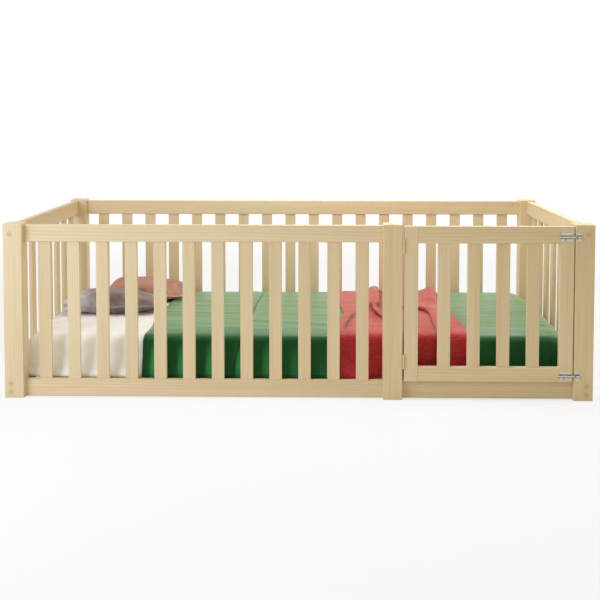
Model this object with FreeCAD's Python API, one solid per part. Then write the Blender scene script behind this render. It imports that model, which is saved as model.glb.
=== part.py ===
import FreeCAD, Part
import os

# A child's floor bed in pine: a slatted fence on four sides, a slatted gate at the right of the
# front with butt hinges and two barrel bolts, a slatted base, and its bedding.
# Millimetres. The origin is on the floor under the middle, X runs along the bed, Z is up,
# and the front with the gate faces -Y.

V = FreeCAD.Vector
X_AXIS = V(1, 0, 0)
Y_AXIS = V(0, 1, 0)
Z_AXIS = V(0, 0, 1)

# Bed frame
bed_length = 2140.0
bed_width = 1040.0
post_size = 70.0
post_height = 640.0
post_edge = 3.0
gate_opening = 618.0
rail_height = 62.0
rail_thickness = 24.0
rail_edge = 2.0
rail_top_drop = 6.0
rail_lift = 2.0
end_rail_setback = 12.0

# Fence slats, let into mortises in the rails
slat_width = 46.0
slat_thickness = 15.0
slat_edge = 2.0
tenon_length = 14.0
tenon_play = 0.15
front_slat_count = 12
rear_slat_count = 18
end_slat_count = 7
gate_slat_count = 4
fence_end_gap_share = 0.86
end_panel_end_gap_share = 1.0
gate_end_gap_share = 1.16

# Gate
gate_thickness = 24.0
gate_stile_width = 50.0
gate_bottom_rail_height = 52.0
gate_lift = 5.0
latch_gap = 4.0

# Butt hinges in the gap beside the gate post
hinge_height = 50.0
hinge_inset = 72.0
leaf_thickness = 2.0
leaf_width = 22.0
leaf_clear = 1.0
knuckle_radius = 3.5
knuckle_clear = 0.3
knuckle_count = 5
knuckle_gap = 0.2
pin_radius = 1.6
pin_play = 0.05
pin_head_radius = 2.8
pin_head_height = 1.5
pin_tip = 1.2
hinge_screw_spread_share = 0.32

# Barrel bolts, drawn back at rest
latch_plate_length = 43.0
latch_plate_height = 32.0
latch_plate_thickness = 1.5
latch_plate_corner = 2.5
latch_plate_inset = 6.0
upper_latch_drop = 38.0
lower_latch_rise = 22.0
guide_length = 7.0
guide_inset = 1.0
guide_wall = 1.6
bar_radius = 3.0
bar_play = 0.05
bar_stand_off = 0.6
bar_tail = 7.0
bar_tip_clear = 5.0
bar_end_chamfer = 0.7
keeper_length = 16.0
keeper_inset = 4.0
knob_stem_radius = 1.8
knob_ball_radius = 3.0
knob_reach = 12.0
knob_seat_depth = 2.2
knob_play = 0.03
knob_place_share = 0.42
latch_screw_inset = 4.5
latch_screw_spread_share = 0.34

# Bolts, barrel nuts and caps that hold the rails to the posts
bolt_radius = 3.0
bolt_play = 0.5
bolt_head_radius = 6.0
bolt_head_height = 5.0
bolt_past_nut = 7.0
bolt_thread_play = 0.05
counterbore_play = 0.4
nut_radius = 5.0
nut_length = 17.0
nut_place = 30.0
nut_play = 0.05
cap_flange_radius = 8.5
cap_proud = 1.2
cap_plug_depth = 5.0
cap_head_gap = 1.0
cap_play = 0.05
end_bolt_top_share = 0.5
end_bolt_bottom_shares = (0.32, 0.81)
side_bolt_top_share = 0.75
side_bolt_bottom_share = 0.56

# Dowels in the rail ends
dowel_radius = 4.0
dowel_depth = 24.0
dowel_play = 0.05
dowel_end_play = 0.5
side_dowel_share = 0.35
end_dowel_share = 0.2
sill_dowel_shares = (0.25, 0.75)
gate_dowel_shares = (0.28, 0.72)

# Wood screws, countersunk
screw_play = 0.05
hinge_screw_head = 2.8
hinge_screw_shank = 1.5
hinge_screw_sink = 1.6
hinge_screw_length = 16.0
latch_screw_head = 2.6
latch_screw_shank = 1.3
latch_screw_sink = 1.2
latch_screw_length = 8.5
base_screw_head = 4.0
base_screw_shank = 2.0
base_screw_sink = 3.0
base_slat_screw_bite = 11.0
ledger_screw_bite = 18.0
ledger_screw_height_share = 0.3
ledger_screw_counts = (5, 3, 7)

# Base that carries the mattress
ledger_height = 30.0
ledger_width = 45.0
ledger_lift = 15.0
base_slat_width = 80.0
base_slat_thickness = 15.0
base_slat_edge = 2.0
base_slat_count = 13
base_slat_play = 2.0
beam_width = 60.0
beam_foot_length = 60.0
beam_foot_place_shares = (0.2, 0.5, 0.8)

# Bedding
bedding_side_play = 3.4
bedding_end_play = 19.7
mattress_height = 150.0
mattress_crown = 7.0
mattress_edge = 30.0
mattress_corner = 45.0
soft_gap = 0.3
cloth_thickness = 4.0
cover_turn_back = 440.0
cloth_hem_lift = 4.0
throw_width = 470.0
throw_foot_gap = 390.0
throw_wave = 26.0
throw_ridge_height = 44.0
throw_ridge_width = 120.0
throw_ridge_place_shares = (0.353, 0.472)
throw_flap_span_shares = (0.472, 0.77)
throw_flap_back_share = 0.56
throw_flap_corner = 120.0
side_ridge_height = 22.0
side_ridge_width = 90.0
side_ridge_place_shares = (0.885, 0.83)
grey_cushion_length = 430.0
grey_cushion_width = 220.0
grey_cushion_height = 92.0
grey_cushion_head_gap = 23.0
pink_cushion_length = 340.0
pink_cushion_width = 300.0
pink_cushion_height = 118.0
pink_cushion_head_gap = 132.0
pink_cushion_turn = -8.0
cushion_gap = 3.0
cushion_fence_gap = 20.0
cushion_sink_share = 0.1

# One overrun lets every cut pass clean through a face
overrun = 1.0
parallel_share = 0.9

# Places worked out from the sizes above
hinge_gap = 2 * leaf_thickness + leaf_clear
counterbore_depth = bolt_head_height + cap_head_gap + cap_plug_depth
bolt_grip = nut_place + nut_radius + bolt_past_nut
bar_axis_reach = latch_plate_thickness + bar_stand_off + max(bar_radius, knob_ball_radius)
guide_radius = bar_radius + bar_play + guide_wall
latch_reach = bar_axis_reach + guide_radius
front_y = (latch_reach - cap_proud - bed_width) / 2
rear_y = front_y + bed_width
right_x = bed_length / 2
left_x = -right_x
left_inner = left_x + post_size
right_inner = right_x - post_size
front_inner = front_y + post_size
rear_inner = rear_y - post_size
gate_post_right = right_inner - gate_opening
gate_post_left = gate_post_right - post_size
rail_top = post_height - rail_top_drop
top_rail_base = rail_top - rail_height
bottom_rail_top = rail_lift + rail_height
front_rail_middle = front_y + post_size / 2
rear_rail_middle = rear_y - post_size / 2
end_rail_middle = right_x - end_rail_setback - rail_thickness / 2
gate_left = gate_post_right + hinge_gap
gate_right = right_inner - latch_gap
gate_base = bottom_rail_top + gate_lift
gate_middle = front_y + gate_thickness / 2
ledger_top = ledger_lift + ledger_height
end_rail_inner = end_rail_middle - rail_thickness / 2
bed_middle = (front_y + rear_y) / 2
cloth_layer = cloth_thickness + soft_gap
mattress_base = ledger_top + base_slat_thickness + soft_gap
mattress_width = bed_width - 2 * (post_size + 2 * cloth_layer + bedding_side_play)
mattress_length = 2 * (end_rail_inner - cloth_layer - bedding_end_play)
mattress_head = -mattress_length / 2
cover_start = mattress_head + cover_turn_back
throw_end = mattress_length / 2 - throw_foot_gap
throw_start = throw_end - throw_width

solids = {}
cuts = {}


# Plain solids

def block(low, high):
    size = high.sub(low)
    return Part.makeBox(size.x, size.y, size.z, low)


def edges_along(shape, axis):
    return [e for e in shape.Edges if abs(e.tangentAt(e.FirstParameter).dot(axis)) > parallel_share]


def timber(low, high, axis, edge):
    board = block(low, high)
    return board.makeFillet(edge, edges_along(board, axis))


def rod(start, axis, length, radius):
    return Part.makeCylinder(radius, length, start, axis)


def step(start, axis, length):
    return start.add(V(axis).multiply(length))


def take(node, tool):
    cuts.setdefault(node, []).append(tool)


def add(node, piece):
    solids.setdefault(node, []).append(piece)


# Posts

def make_posts():
    places = {
        "front_left_post": (left_x, front_y),
        "front_right_post": (right_inner, front_y),
        "rear_left_post": (left_x, rear_inner),
        "rear_right_post": (right_inner, rear_inner),
        "gate_post": (gate_post_left, front_y),
    }
    for node, (x, y) in places.items():
        post = block(V(x, y, 0), V(x + post_size, y + post_size, post_height))
        upper_edges = [e for e in post.Edges if e.BoundBox.ZMax > 0]
        add(node, post.makeFillet(post_edge, upper_edges))


# Rails

def side_rail(node, start, end, middle, base):
    half = rail_thickness / 2
    low = V(start, middle - half, base)
    high = V(end, middle + half, base + rail_height)
    add(node, timber(low, high, X_AXIS, rail_edge))


def end_rail(node, middle, base):
    half = rail_thickness / 2
    low = V(middle - half, front_inner, base)
    high = V(middle + half, rear_inner, base + rail_height)
    add(node, timber(low, high, Y_AXIS, rail_edge))


def make_rails():
    side_rail("front_top_rail", left_inner, gate_post_left, front_rail_middle, top_rail_base)
    side_rail("front_bottom_rail", left_inner, gate_post_left, front_rail_middle, rail_lift)
    side_rail("gate_sill_rail", gate_post_right, right_inner, front_rail_middle, rail_lift)
    side_rail("rear_top_rail", left_inner, right_inner, rear_rail_middle, top_rail_base)
    side_rail("rear_bottom_rail", left_inner, right_inner, rear_rail_middle, rail_lift)
    for side, middle in (("left", -end_rail_middle), ("right", end_rail_middle)):
        end_rail(side + "_top_rail", middle, top_rail_base)
        end_rail(side + "_bottom_rail", middle, rail_lift)


# Slats

def slat_starts(start, end, count, end_gap_share):
    gap = (end - start - count * slat_width) / (count - 1 + 2 * end_gap_share)
    first = start + gap * end_gap_share
    return [first + index * (slat_width + gap) for index in range(count)]


def place(axis, along, across, height):
    return V(along, across, height) if axis == X_AXIS else V(across, along, height)


def fence_slats(node, axis, starts, middle, lower, lower_top, upper, upper_base):
    half = slat_thickness / 2
    foot = lower_top - tenon_length
    head = upper_base + tenon_length
    for start in starts:
        low = place(axis, start, middle - half, foot)
        high = place(axis, start + slat_width, middle + half, head)
        add(node, timber(low, high, Z_AXIS, slat_edge))
        play = V(tenon_play, tenon_play, 0)
        low_mortise = V(high.x, high.y, lower_top + overrun)
        take(lower, block(low.sub(play), low_mortise.add(play)))
        high_mortise = V(low.x, low.y, upper_base - overrun)
        roof = V(high.x, high.y, head + tenon_play)
        take(upper, block(high_mortise.sub(play), roof.add(play)))


def make_fence_slats():
    front = slat_starts(left_inner, gate_post_left, front_slat_count, fence_end_gap_share)
    fence_slats("front_slats", X_AXIS, front, front_rail_middle,
                "front_bottom_rail", bottom_rail_top, "front_top_rail", top_rail_base)
    rear = slat_starts(left_inner, right_inner, rear_slat_count, fence_end_gap_share)
    fence_slats("rear_slats", X_AXIS, rear, rear_rail_middle,
                "rear_bottom_rail", bottom_rail_top, "rear_top_rail", top_rail_base)
    ends = slat_starts(front_inner, rear_inner, end_slat_count, end_panel_end_gap_share)
    for side, middle in (("left", -end_rail_middle), ("right", end_rail_middle)):
        fence_slats(side + "_end_slats", Y_AXIS, ends, middle,
                    side + "_bottom_rail", bottom_rail_top, side + "_top_rail", top_rail_base)


# Rail fastenings

def rail_bolt(face, axis):
    seat = step(face, axis, counterbore_depth)
    shank_length = post_size - counterbore_depth + bolt_grip
    head = rod(step(seat, axis, -bolt_head_height), axis, bolt_head_height, bolt_head_radius)
    return head.fuse(rod(seat, axis, shank_length, bolt_radius)).removeSplitter()


def bolt_cap(face, axis):
    plug_radius = bolt_head_radius + counterbore_play - cap_play
    flange = rod(step(face, axis, -cap_proud), axis, cap_proud, cap_flange_radius)
    flange = flange.makeFillet(cap_proud / 2, [flange.Edges[0]])
    return flange.fuse(rod(face, axis, cap_plug_depth, plug_radius)).removeSplitter()


def bolted_joint(post, rail, face, axis, inward):
    bolt_hole = rod(face, axis, post_size + bolt_grip + overrun, bolt_radius + bolt_play)
    counterbore = rod(step(face, axis, -overrun), axis, counterbore_depth + overrun,
                      bolt_head_radius + counterbore_play)
    take(post, bolt_hole)
    take(post, counterbore)
    take(rail, bolt_hole)
    nut_centre = step(face, axis, post_size + nut_place)
    nut_face = step(nut_centre, inward, rail_thickness / 2)
    outward = V(inward).multiply(-1)
    take(rail, rod(step(nut_face, inward, overrun), outward, nut_length + overrun, nut_radius + nut_play))
    nut = rod(nut_face, outward, nut_length, nut_radius)
    thread = rod(step(nut_centre, axis, -nut_place), axis, 2 * nut_place, bolt_radius + bolt_thread_play)
    add("barrel_nuts", nut.cut(thread))
    add("rail_bolts", rail_bolt(face, axis))
    add("bolt_caps", bolt_cap(face, axis))


def make_bolted_joints():
    top_z = top_rail_base + rail_height * side_bolt_top_share
    bottom_z = rail_lift + rail_height * side_bolt_bottom_share
    back = V(Y_AXIS).multiply(-1)
    left = V(X_AXIS).multiply(-1)
    for row, y, inward in (("front", front_rail_middle, Y_AXIS), ("rear", rear_rail_middle, back)):
        for level, z in (("top", top_z), ("bottom", bottom_z)):
            rail = row + "_" + level + "_rail"
            bolted_joint(row + "_left_post", rail, V(left_x, y, z), X_AXIS, inward)
    bolted_joint("gate_post", "front_top_rail", V(gate_post_right, front_rail_middle, top_z), left, Y_AXIS)
    bolted_joint("front_right_post", "gate_sill_rail", V(right_x, front_rail_middle, bottom_z), left, Y_AXIS)
    for level, z in (("top", top_z), ("bottom", bottom_z)):
        face = V(right_x, rear_rail_middle, z)
        bolted_joint("rear_right_post", "rear_" + level + "_rail", face, left, back)
    end_heights = [("top", top_rail_base + rail_height * end_bolt_top_share)]
    end_heights += [("bottom", rail_lift + rail_height * share) for share in end_bolt_bottom_shares]
    for side, x, inward in (("left", -end_rail_middle, X_AXIS), ("right", end_rail_middle, left)):
        for level, z in end_heights:
            rail = side + "_" + level + "_rail"
            bolted_joint("front_" + side + "_post", rail, V(x, front_y, z), Y_AXIS, inward)
            bolted_joint("rear_" + side + "_post", rail, V(x, rear_y, z), back, inward)


def dowel_joint(node, first, second, meeting, axis):
    hole_depth = dowel_depth + dowel_end_play
    hole = rod(step(meeting, axis, -hole_depth), axis, 2 * hole_depth, dowel_radius + dowel_play)
    take(first, hole)
    take(second, hole)
    add(node, rod(step(meeting, axis, -dowel_depth), axis, 2 * dowel_depth, dowel_radius))


def make_dowels():
    node = "frame_dowels"
    levels = (("top", top_rail_base), ("bottom", rail_lift))
    for level, base in levels:
        side_z = base + rail_height * side_dowel_share
        front = "front_" + level + "_rail"
        rear = "rear_" + level + "_rail"
        dowel_joint(node, "front_left_post", front, V(left_inner, front_rail_middle, side_z), X_AXIS)
        dowel_joint(node, "rear_left_post", rear, V(left_inner, rear_rail_middle, side_z), X_AXIS)
        dowel_joint(node, "rear_right_post", rear, V(right_inner, rear_rail_middle, side_z), X_AXIS)
    for side, x in (("left", -end_rail_middle), ("right", end_rail_middle)):
        rail = side + "_top_rail"
        z = top_rail_base + rail_height * end_dowel_share
        dowel_joint(node, "front_" + side + "_post", rail, V(x, front_inner, z), Y_AXIS)
        dowel_joint(node, "rear_" + side + "_post", rail, V(x, rear_inner, z), Y_AXIS)
    top_z = top_rail_base + rail_height * side_dowel_share
    dowel_joint(node, "gate_post", "front_top_rail", V(gate_post_left, front_rail_middle, top_z), X_AXIS)
    sill_z = rail_lift + rail_height * side_dowel_share
    dowel_joint(node, "front_right_post", "gate_sill_rail", V(right_inner, front_rail_middle, sill_z), X_AXIS)
    for share in sill_dowel_shares:
        z = rail_lift + rail_height * share
        dowel_joint(node, "gate_post", "front_bottom_rail", V(gate_post_left, front_rail_middle, z), X_AXIS)
        dowel_joint(node, "gate_post", "gate_sill_rail", V(gate_post_right, front_rail_middle, z), X_AXIS)


# Screws

def screw(face, axis, head, shank, sink, length, play=0):
    cone = Part.makeCone(head + play, shank + play, sink, face, axis)
    return cone.fuse(rod(face, axis, length + play, shank + play)).removeSplitter()


def screw_in(node, hosts, face, axis, sizes):
    hole = screw(face, axis, *sizes, play=screw_play)
    for host in hosts:
        take(host, hole)
    add(node, screw(face, axis, *sizes))


hinge_screw = (hinge_screw_head, hinge_screw_shank, hinge_screw_sink, hinge_screw_length)
latch_screw = (latch_screw_head, latch_screw_shank, latch_screw_sink, latch_screw_length)


# Gate

def make_gate():
    gate_back = front_y + gate_thickness
    stile_inner_left = gate_left + gate_stile_width
    stile_inner_right = gate_right - gate_stile_width
    for node, x in (("gate_hinge_stile", gate_left), ("gate_latch_stile", stile_inner_right)):
        low = V(x, front_y, gate_base)
        high = V(x + gate_stile_width, gate_back, rail_top)
        add(node, timber(low, high, Z_AXIS, rail_edge))
    lower_top = gate_base + gate_bottom_rail_height
    upper_base = rail_top - rail_height
    levels = (("gate_bottom_rail", gate_base, lower_top), ("gate_top_rail", upper_base, rail_top))
    for node, base, top in levels:
        low = V(stile_inner_left, front_y, base)
        high = V(stile_inner_right, gate_back, top)
        add(node, timber(low, high, X_AXIS, rail_edge))
        for share in gate_dowel_shares:
            z = base + (top - base) * share
            left_meeting = V(stile_inner_left, gate_middle, z)
            right_meeting = V(stile_inner_right, gate_middle, z)
            dowel_joint("gate_dowels", "gate_hinge_stile", node, left_meeting, X_AXIS)
            dowel_joint("gate_dowels", "gate_latch_stile", node, right_meeting, X_AXIS)
    starts = slat_starts(stile_inner_left, stile_inner_right, gate_slat_count, gate_end_gap_share)
    fence_slats("gate_slats", X_AXIS, starts, gate_middle,
                "gate_bottom_rail", lower_top, "gate_top_rail", upper_base)


# Hinges

def hinge_leaf(plate_start, base, first_knuckle, axis_point):
    plate_end = plate_start + leaf_thickness
    leaf = block(V(plate_start, front_y, base), V(plate_end, front_y + leaf_width, base + hinge_height))
    knuckle_height = hinge_height / knuckle_count
    for index in range(first_knuckle, knuckle_count, 2):
        low = base + index * knuckle_height + knuckle_gap / 2
        high = base + (index + 1) * knuckle_height - knuckle_gap / 2
        knuckle = rod(V(axis_point.x, axis_point.y, low), Z_AXIS, high - low, knuckle_radius)
        lug = block(V(plate_start, axis_point.y, low), V(plate_end, front_y, high))
        leaf = leaf.fuse([knuckle, lug])
    bore = rod(V(axis_point.x, axis_point.y, base - overrun), Z_AXIS, hinge_height + 2 * overrun,
               pin_radius + pin_play)
    return leaf.removeSplitter().cut(bore)


def hinge_pin(base, axis_point):
    low = base + knuckle_gap / 2 - pin_tip
    high = base + hinge_height - knuckle_gap / 2
    shaft = rod(V(axis_point.x, axis_point.y, low), Z_AXIS, high - low, pin_radius)
    head = rod(V(axis_point.x, axis_point.y, high), Z_AXIS, pin_head_height, pin_head_radius)
    return shaft.fuse(head).removeSplitter()


def make_hinge(name, centre):
    axis_point = V(gate_post_right + hinge_gap / 2, front_y - knuckle_radius - knuckle_clear, 0)
    base = centre - hinge_height / 2
    post_leaf = name + "_hinge_post_leaf"
    gate_leaf = name + "_hinge_gate_leaf"
    add(post_leaf, hinge_leaf(gate_post_right, base, 0, axis_point))
    add(gate_leaf, hinge_leaf(gate_left - leaf_thickness, base, 1, axis_point))
    add(name + "_hinge_pin", hinge_pin(base, axis_point))
    left = V(X_AXIS).multiply(-1)
    y = front_y + leaf_width / 2
    spread = hinge_height * hinge_screw_spread_share
    for z in (centre - spread, centre, centre + spread):
        post_face = V(gate_post_right + leaf_thickness, y, z)
        gate_face = V(gate_left - leaf_thickness, y, z)
        screw_in("hinge_post_screws", (post_leaf, "gate_post"), post_face, left, hinge_screw)
        screw_in("hinge_gate_screws", (gate_leaf, "gate_hinge_stile"), gate_face, X_AXIS, hinge_screw)


# Barrel bolts

def latch_plate(low_x, high_x, centre, guides):
    half = latch_plate_height / 2
    plate_front = front_y - latch_plate_thickness
    plate = block(V(low_x, plate_front, centre - half), V(high_x, front_y, centre + half))
    plate = plate.makeFillet(latch_plate_corner, edges_along(plate, Y_AXIS))
    bar_y = front_y - bar_axis_reach
    for start, end in guides:
        tunnel = rod(V(start, bar_y, centre), X_AXIS, end - start, guide_radius)
        foot = block(V(start, bar_y, centre - guide_radius), V(end, plate_front, centre + guide_radius))
        plate = plate.fuse([tunnel, foot])
    bore = rod(V(low_x - overrun, bar_y, centre), X_AXIS, high_x - low_x + 2 * overrun, bar_radius + bar_play)
    return plate.removeSplitter().cut(bore)


def make_latch(name, centre):
    plate_right = gate_right - latch_plate_inset
    plate_left = plate_right - latch_plate_length
    keeper_left = right_inner + keeper_inset
    keeper_right = keeper_left + keeper_length
    near_guide = (plate_left + guide_inset, plate_left + guide_inset + guide_length)
    far_guide = (plate_right - guide_inset - guide_length, plate_right - guide_inset)
    keeper_guide = (keeper_left + guide_inset, keeper_right - guide_inset)
    plate = name + "_latch_plate"
    keeper = name + "_latch_keeper"
    add(plate, latch_plate(plate_left, plate_right, centre, (near_guide, far_guide)))
    add(keeper, latch_plate(keeper_left, keeper_right, centre, (keeper_guide,)))

    bar_y = front_y - bar_axis_reach
    bar_left = plate_left - bar_tail
    bar_length = keeper_left - bar_tip_clear - bar_left
    bar = rod(V(bar_left, bar_y, centre), X_AXIS, bar_length, bar_radius)
    bar = bar.makeChamfer(bar_end_chamfer, [e for e in bar.Edges if e.BoundBox.XLength < overrun])
    knob_x = plate_left + latch_plate_length * knob_place_share
    down = V(Z_AXIS).multiply(-1)
    seat = V(knob_x, bar_y, centre - bar_radius + knob_seat_depth)
    bar = bar.cut(rod(seat, down, bar_radius, knob_stem_radius + knob_play))
    add(name + "_latch_bar", bar)
    ball = Part.makeSphere(knob_ball_radius, V(knob_x, bar_y, centre - knob_reach))
    stem = rod(seat, down, knob_reach - bar_radius + knob_seat_depth, knob_stem_radius)
    add(name + "_latch_knob", stem.fuse(ball).removeSplitter())

    plate_front = front_y - latch_plate_thickness
    spread = latch_plate_height * latch_screw_spread_share
    for z in (centre - spread, centre + spread):
        for x in (plate_left + latch_screw_inset, plate_right - latch_screw_inset):
            hosts = (plate, "gate_latch_stile")
            screw_in("latch_plate_screws", hosts, V(x, plate_front, z), Y_AXIS, latch_screw)
        keeper_screw = V((keeper_left + keeper_right) / 2, plate_front, z)
        screw_in("keeper_screws", (keeper, "front_right_post"), keeper_screw, Y_AXIS, latch_screw)


# Base

def make_ledger(node, rail, start, end, rail_face, inward, screw_count):
    inner_face = rail_face + inward * ledger_width
    low = V(start, min(rail_face, inner_face), ledger_lift)
    high = V(end, max(rail_face, inner_face), ledger_top)
    add(node, block(low, high))
    outward = V(0, -inward, 0)
    length = ledger_width + ledger_screw_bite
    sizes = (base_screw_head, base_screw_shank, base_screw_sink, length)
    for index in range(screw_count):
        x = start + (end - start) * (2 * index + 1) / (2 * screw_count)
        face = V(x, inner_face, ledger_lift + ledger_height * ledger_screw_height_share)
        screw_in("ledger_screws", (node, rail), face, outward, sizes)


def make_base():
    front_face = front_rail_middle + rail_thickness / 2
    rear_face = rear_rail_middle - rail_thickness / 2
    left_count, right_count, rear_count = ledger_screw_counts
    make_ledger("front_left_ledger", "front_bottom_rail", left_inner, gate_post_left,
                front_face, 1, left_count)
    make_ledger("front_right_ledger", "gate_sill_rail", gate_post_right, right_inner,
                front_face, 1, right_count)
    make_ledger("rear_ledger", "rear_bottom_rail", left_inner, right_inner,
                rear_face, -1, rear_count)

    half_beam = beam_width / 2
    low = V(-end_rail_inner, bed_middle - half_beam, ledger_lift)
    add("centre_beam", block(low, V(end_rail_inner, bed_middle + half_beam, ledger_top)))
    for share in beam_foot_place_shares:
        x = -end_rail_inner + 2 * end_rail_inner * share - beam_foot_length / 2
        low = V(x, bed_middle - half_beam, 0)
        add("beam_feet", block(low, V(x + beam_foot_length, bed_middle + half_beam, ledger_lift)))

    slat_front = front_inner + base_slat_play
    slat_rear = rear_inner - base_slat_play
    slat_top = ledger_top + base_slat_thickness
    pitch = (right_inner - left_inner) / base_slat_count
    down = V(Z_AXIS).multiply(-1)
    length = base_slat_thickness + base_slat_screw_bite
    sizes = (base_screw_head, base_screw_shank, base_screw_sink, length)
    front_bearing = (slat_front + front_face + ledger_width) / 2
    rear_bearing = (slat_rear + rear_face - ledger_width) / 2
    for index in range(base_slat_count):
        middle = left_inner + pitch * (2 * index + 1) / 2
        low = V(middle - base_slat_width / 2, slat_front, ledger_top)
        high = V(middle + base_slat_width / 2, slat_rear, slat_top)
        add("base_slats", timber(low, high, Y_AXIS, base_slat_edge))
        ledgers = ("base_slats", "front_left_ledger", "front_right_ledger", "rear_ledger", "centre_beam")
        for y in (front_bearing, bed_middle, rear_bearing):
            screw_in("base_slat_screws", ledgers, V(middle, y, slat_top), down, sizes)


# Bedding

def rounded_section(low_a, high_a, low_z, high_z, edge, crown, point):
    """A closed outline with round corners and a crowned top; point turns (a, z) into a place."""
    bend = edge * (1 - 0.5 ** 0.5)
    middle = (low_a + high_a) / 2
    bottom_left = Part.Arc(point(low_a, low_z + edge), point(low_a + bend, low_z + bend),
                           point(low_a + edge, low_z))
    bottom = Part.LineSegment(point(low_a + edge, low_z), point(high_a - edge, low_z))
    bottom_right = Part.Arc(point(high_a - edge, low_z), point(high_a - bend, low_z + bend),
                            point(high_a, low_z + edge))
    right = Part.LineSegment(point(high_a, low_z + edge), point(high_a, high_z - edge))
    top_right = Part.Arc(point(high_a, high_z - edge), point(high_a - bend, high_z - bend),
                         point(high_a - edge, high_z))
    top = Part.Arc(point(high_a - edge, high_z), point(middle, high_z + crown), point(low_a + edge, high_z))
    top_left = Part.Arc(point(low_a + edge, high_z), point(low_a + bend, high_z - bend),
                        point(low_a, high_z - edge))
    left = Part.LineSegment(point(low_a, high_z - edge), point(low_a, low_z + edge))
    parts = (bottom_left, bottom, bottom_right, right, top_right, top, top_left, left)
    return Part.Face(Part.Wire([part.toShape() for part in parts]))


def mattress_form(grow):
    """The mattress, grown evenly by a distance all round."""
    half_length = mattress_length / 2 + grow
    half_width = mattress_width / 2 + grow
    base = mattress_base - grow
    top = mattress_base + mattress_height + grow
    edge = mattress_edge + grow
    front = bed_middle - half_width
    rear = bed_middle + half_width
    end = half_length + overrun
    across = rounded_section(front, rear, base, top, edge, mattress_crown, lambda a, z: V(-end, a, z))
    along = rounded_section(-half_length, half_length, base - overrun, top + 2 * mattress_crown, edge,
                            mattress_crown, lambda a, z: V(a, front - overrun, z))
    long_form = across.extrude(V(2 * end, 0, 0))
    wide_form = along.extrude(V(0, 2 * (half_width + overrun), 0))
    low = V(-end, front - overrun, base - overrun)
    plan = block(low, V(end, rear + overrun, top + edge))
    plan = plan.makeFillet(mattress_corner + grow + overrun, edges_along(plan, Z_AXIS))
    return long_form.common(wide_form).common(plan)


def span_block(start, end, low_z):
    """Everything between two cross planes of the bed, from a height up."""
    return block(V(start, front_y, low_z), V(end, rear_y, post_height))


def make_cover():
    inner = mattress_form(soft_gap)
    outer = mattress_form(cloth_layer)
    hem = mattress_base + cloth_hem_lift
    add("bed_cover", outer.cut(inner).common(span_block(cover_start, right_x, hem)))


def throw_place(share):
    return throw_start + throw_width * share


def ridge(place_shares, width, height):
    """A rolled fold that lies across the bed and dies away towards the front."""
    top = mattress_base + mattress_height + mattress_crown + cloth_thickness
    half = mattress_width / 2 - mattress_edge
    rear_x, front_x = [throw_place(share) for share in place_shares]
    sections = []
    stations = 4
    for index in range(stations):
        share = index / (stations - 1)
        y = bed_middle + half - 2 * half * share
        x = rear_x + (front_x - rear_x) * share
        reach = width / 2 * (1 - share / 2)
        rise = height * (1 - share) + cloth_thickness * share
        foot = top - mattress_crown - height
        left_foot = V(x - reach, y, foot)
        right_foot = V(x + reach, y, foot)
        left_hip = V(x - reach, y, top)
        right_hip = V(x + reach, y, top)
        roll = Part.Arc(left_hip, V(x, y, top + rise), right_hip)
        sides = (Part.LineSegment(right_hip, right_foot), Part.LineSegment(right_foot, left_foot),
                 Part.LineSegment(left_foot, left_hip))
        sections.append(Part.Wire([roll.toShape()] + [side.toShape() for side in sides]))
    return Part.makeLoft(sections, True, True)


def throw_plan():
    """The throw seen from above: a wavy left edge and a straight right one."""
    front_left = V(throw_start, front_y, 0)
    mid_left = V(throw_start + throw_wave / 2, bed_middle, 0)
    rear_left = V(throw_start, rear_y, 0)
    front_bow = V(throw_start - throw_wave / 4, (front_y + bed_middle) / 2, 0)
    rear_bow = V(throw_start + throw_wave, (bed_middle + rear_y) / 2, 0)
    front_right = V(throw_end, front_y, 0)
    rear_right = V(throw_end, rear_y, 0)
    edges = (Part.Arc(front_left, front_bow, mid_left), Part.Arc(mid_left, rear_bow, rear_left),
             Part.LineSegment(rear_left, rear_right), Part.LineSegment(rear_right, front_right),
             Part.LineSegment(front_right, front_left))
    face = Part.Face(Part.Wire([edge.toShape() for edge in edges]))
    return face.extrude(V(0, 0, post_height))


def throw_flap():
    """The turned-over corner that lies double on the front half of the throw."""
    form = mattress_form(2 * cloth_layer + cloth_thickness)
    start, end = [throw_place(share) for share in throw_flap_span_shares]
    front = bed_middle - mattress_width / 2
    back = front + mattress_width * throw_flap_back_share
    flap = block(V(start, front, 0), V(end, back, post_height))
    corner = [e for e in edges_along(flap, Z_AXIS) if e.BoundBox.XMin > start and e.BoundBox.YMin > front]
    return form.common(flap.makeFillet(throw_flap_corner, corner))


def make_throw():
    inner = mattress_form(cloth_layer + soft_gap)
    outer = mattress_form(2 * cloth_layer)
    cloth = outer.common(throw_plan())
    cloth = cloth.fuse(ridge(throw_ridge_place_shares, throw_ridge_width, throw_ridge_height))
    cloth = cloth.fuse(ridge(side_ridge_place_shares, side_ridge_width, side_ridge_height))
    cloth = cloth.fuse(throw_flap())
    hem = mattress_base + cloth_hem_lift
    add("throw_blanket", cloth.cut(inner).common(span_block(left_x, right_x, hem)).removeSplitter())


# Stations along a cushion: place, width and height, as shares of its sizes
grey_cushion_shares = ((0.0, 1.0, 0.06), (0.1, 0.97, 0.6), (0.28, 0.95, 1.0), (0.5, 0.94, 0.98),
                       (0.75, 0.95, 0.8), (0.92, 0.97, 0.45), (1.0, 1.0, 0.06))
pink_cushion_shares = ((0.0, 1.0, 0.06), (0.1, 0.96, 0.5), (0.28, 0.94, 0.9), (0.5, 0.93, 1.0),
                       (0.72, 0.94, 0.9), (0.9, 0.96, 0.5), (1.0, 1.0, 0.06))
cushion_belly_share = 0.45


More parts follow.
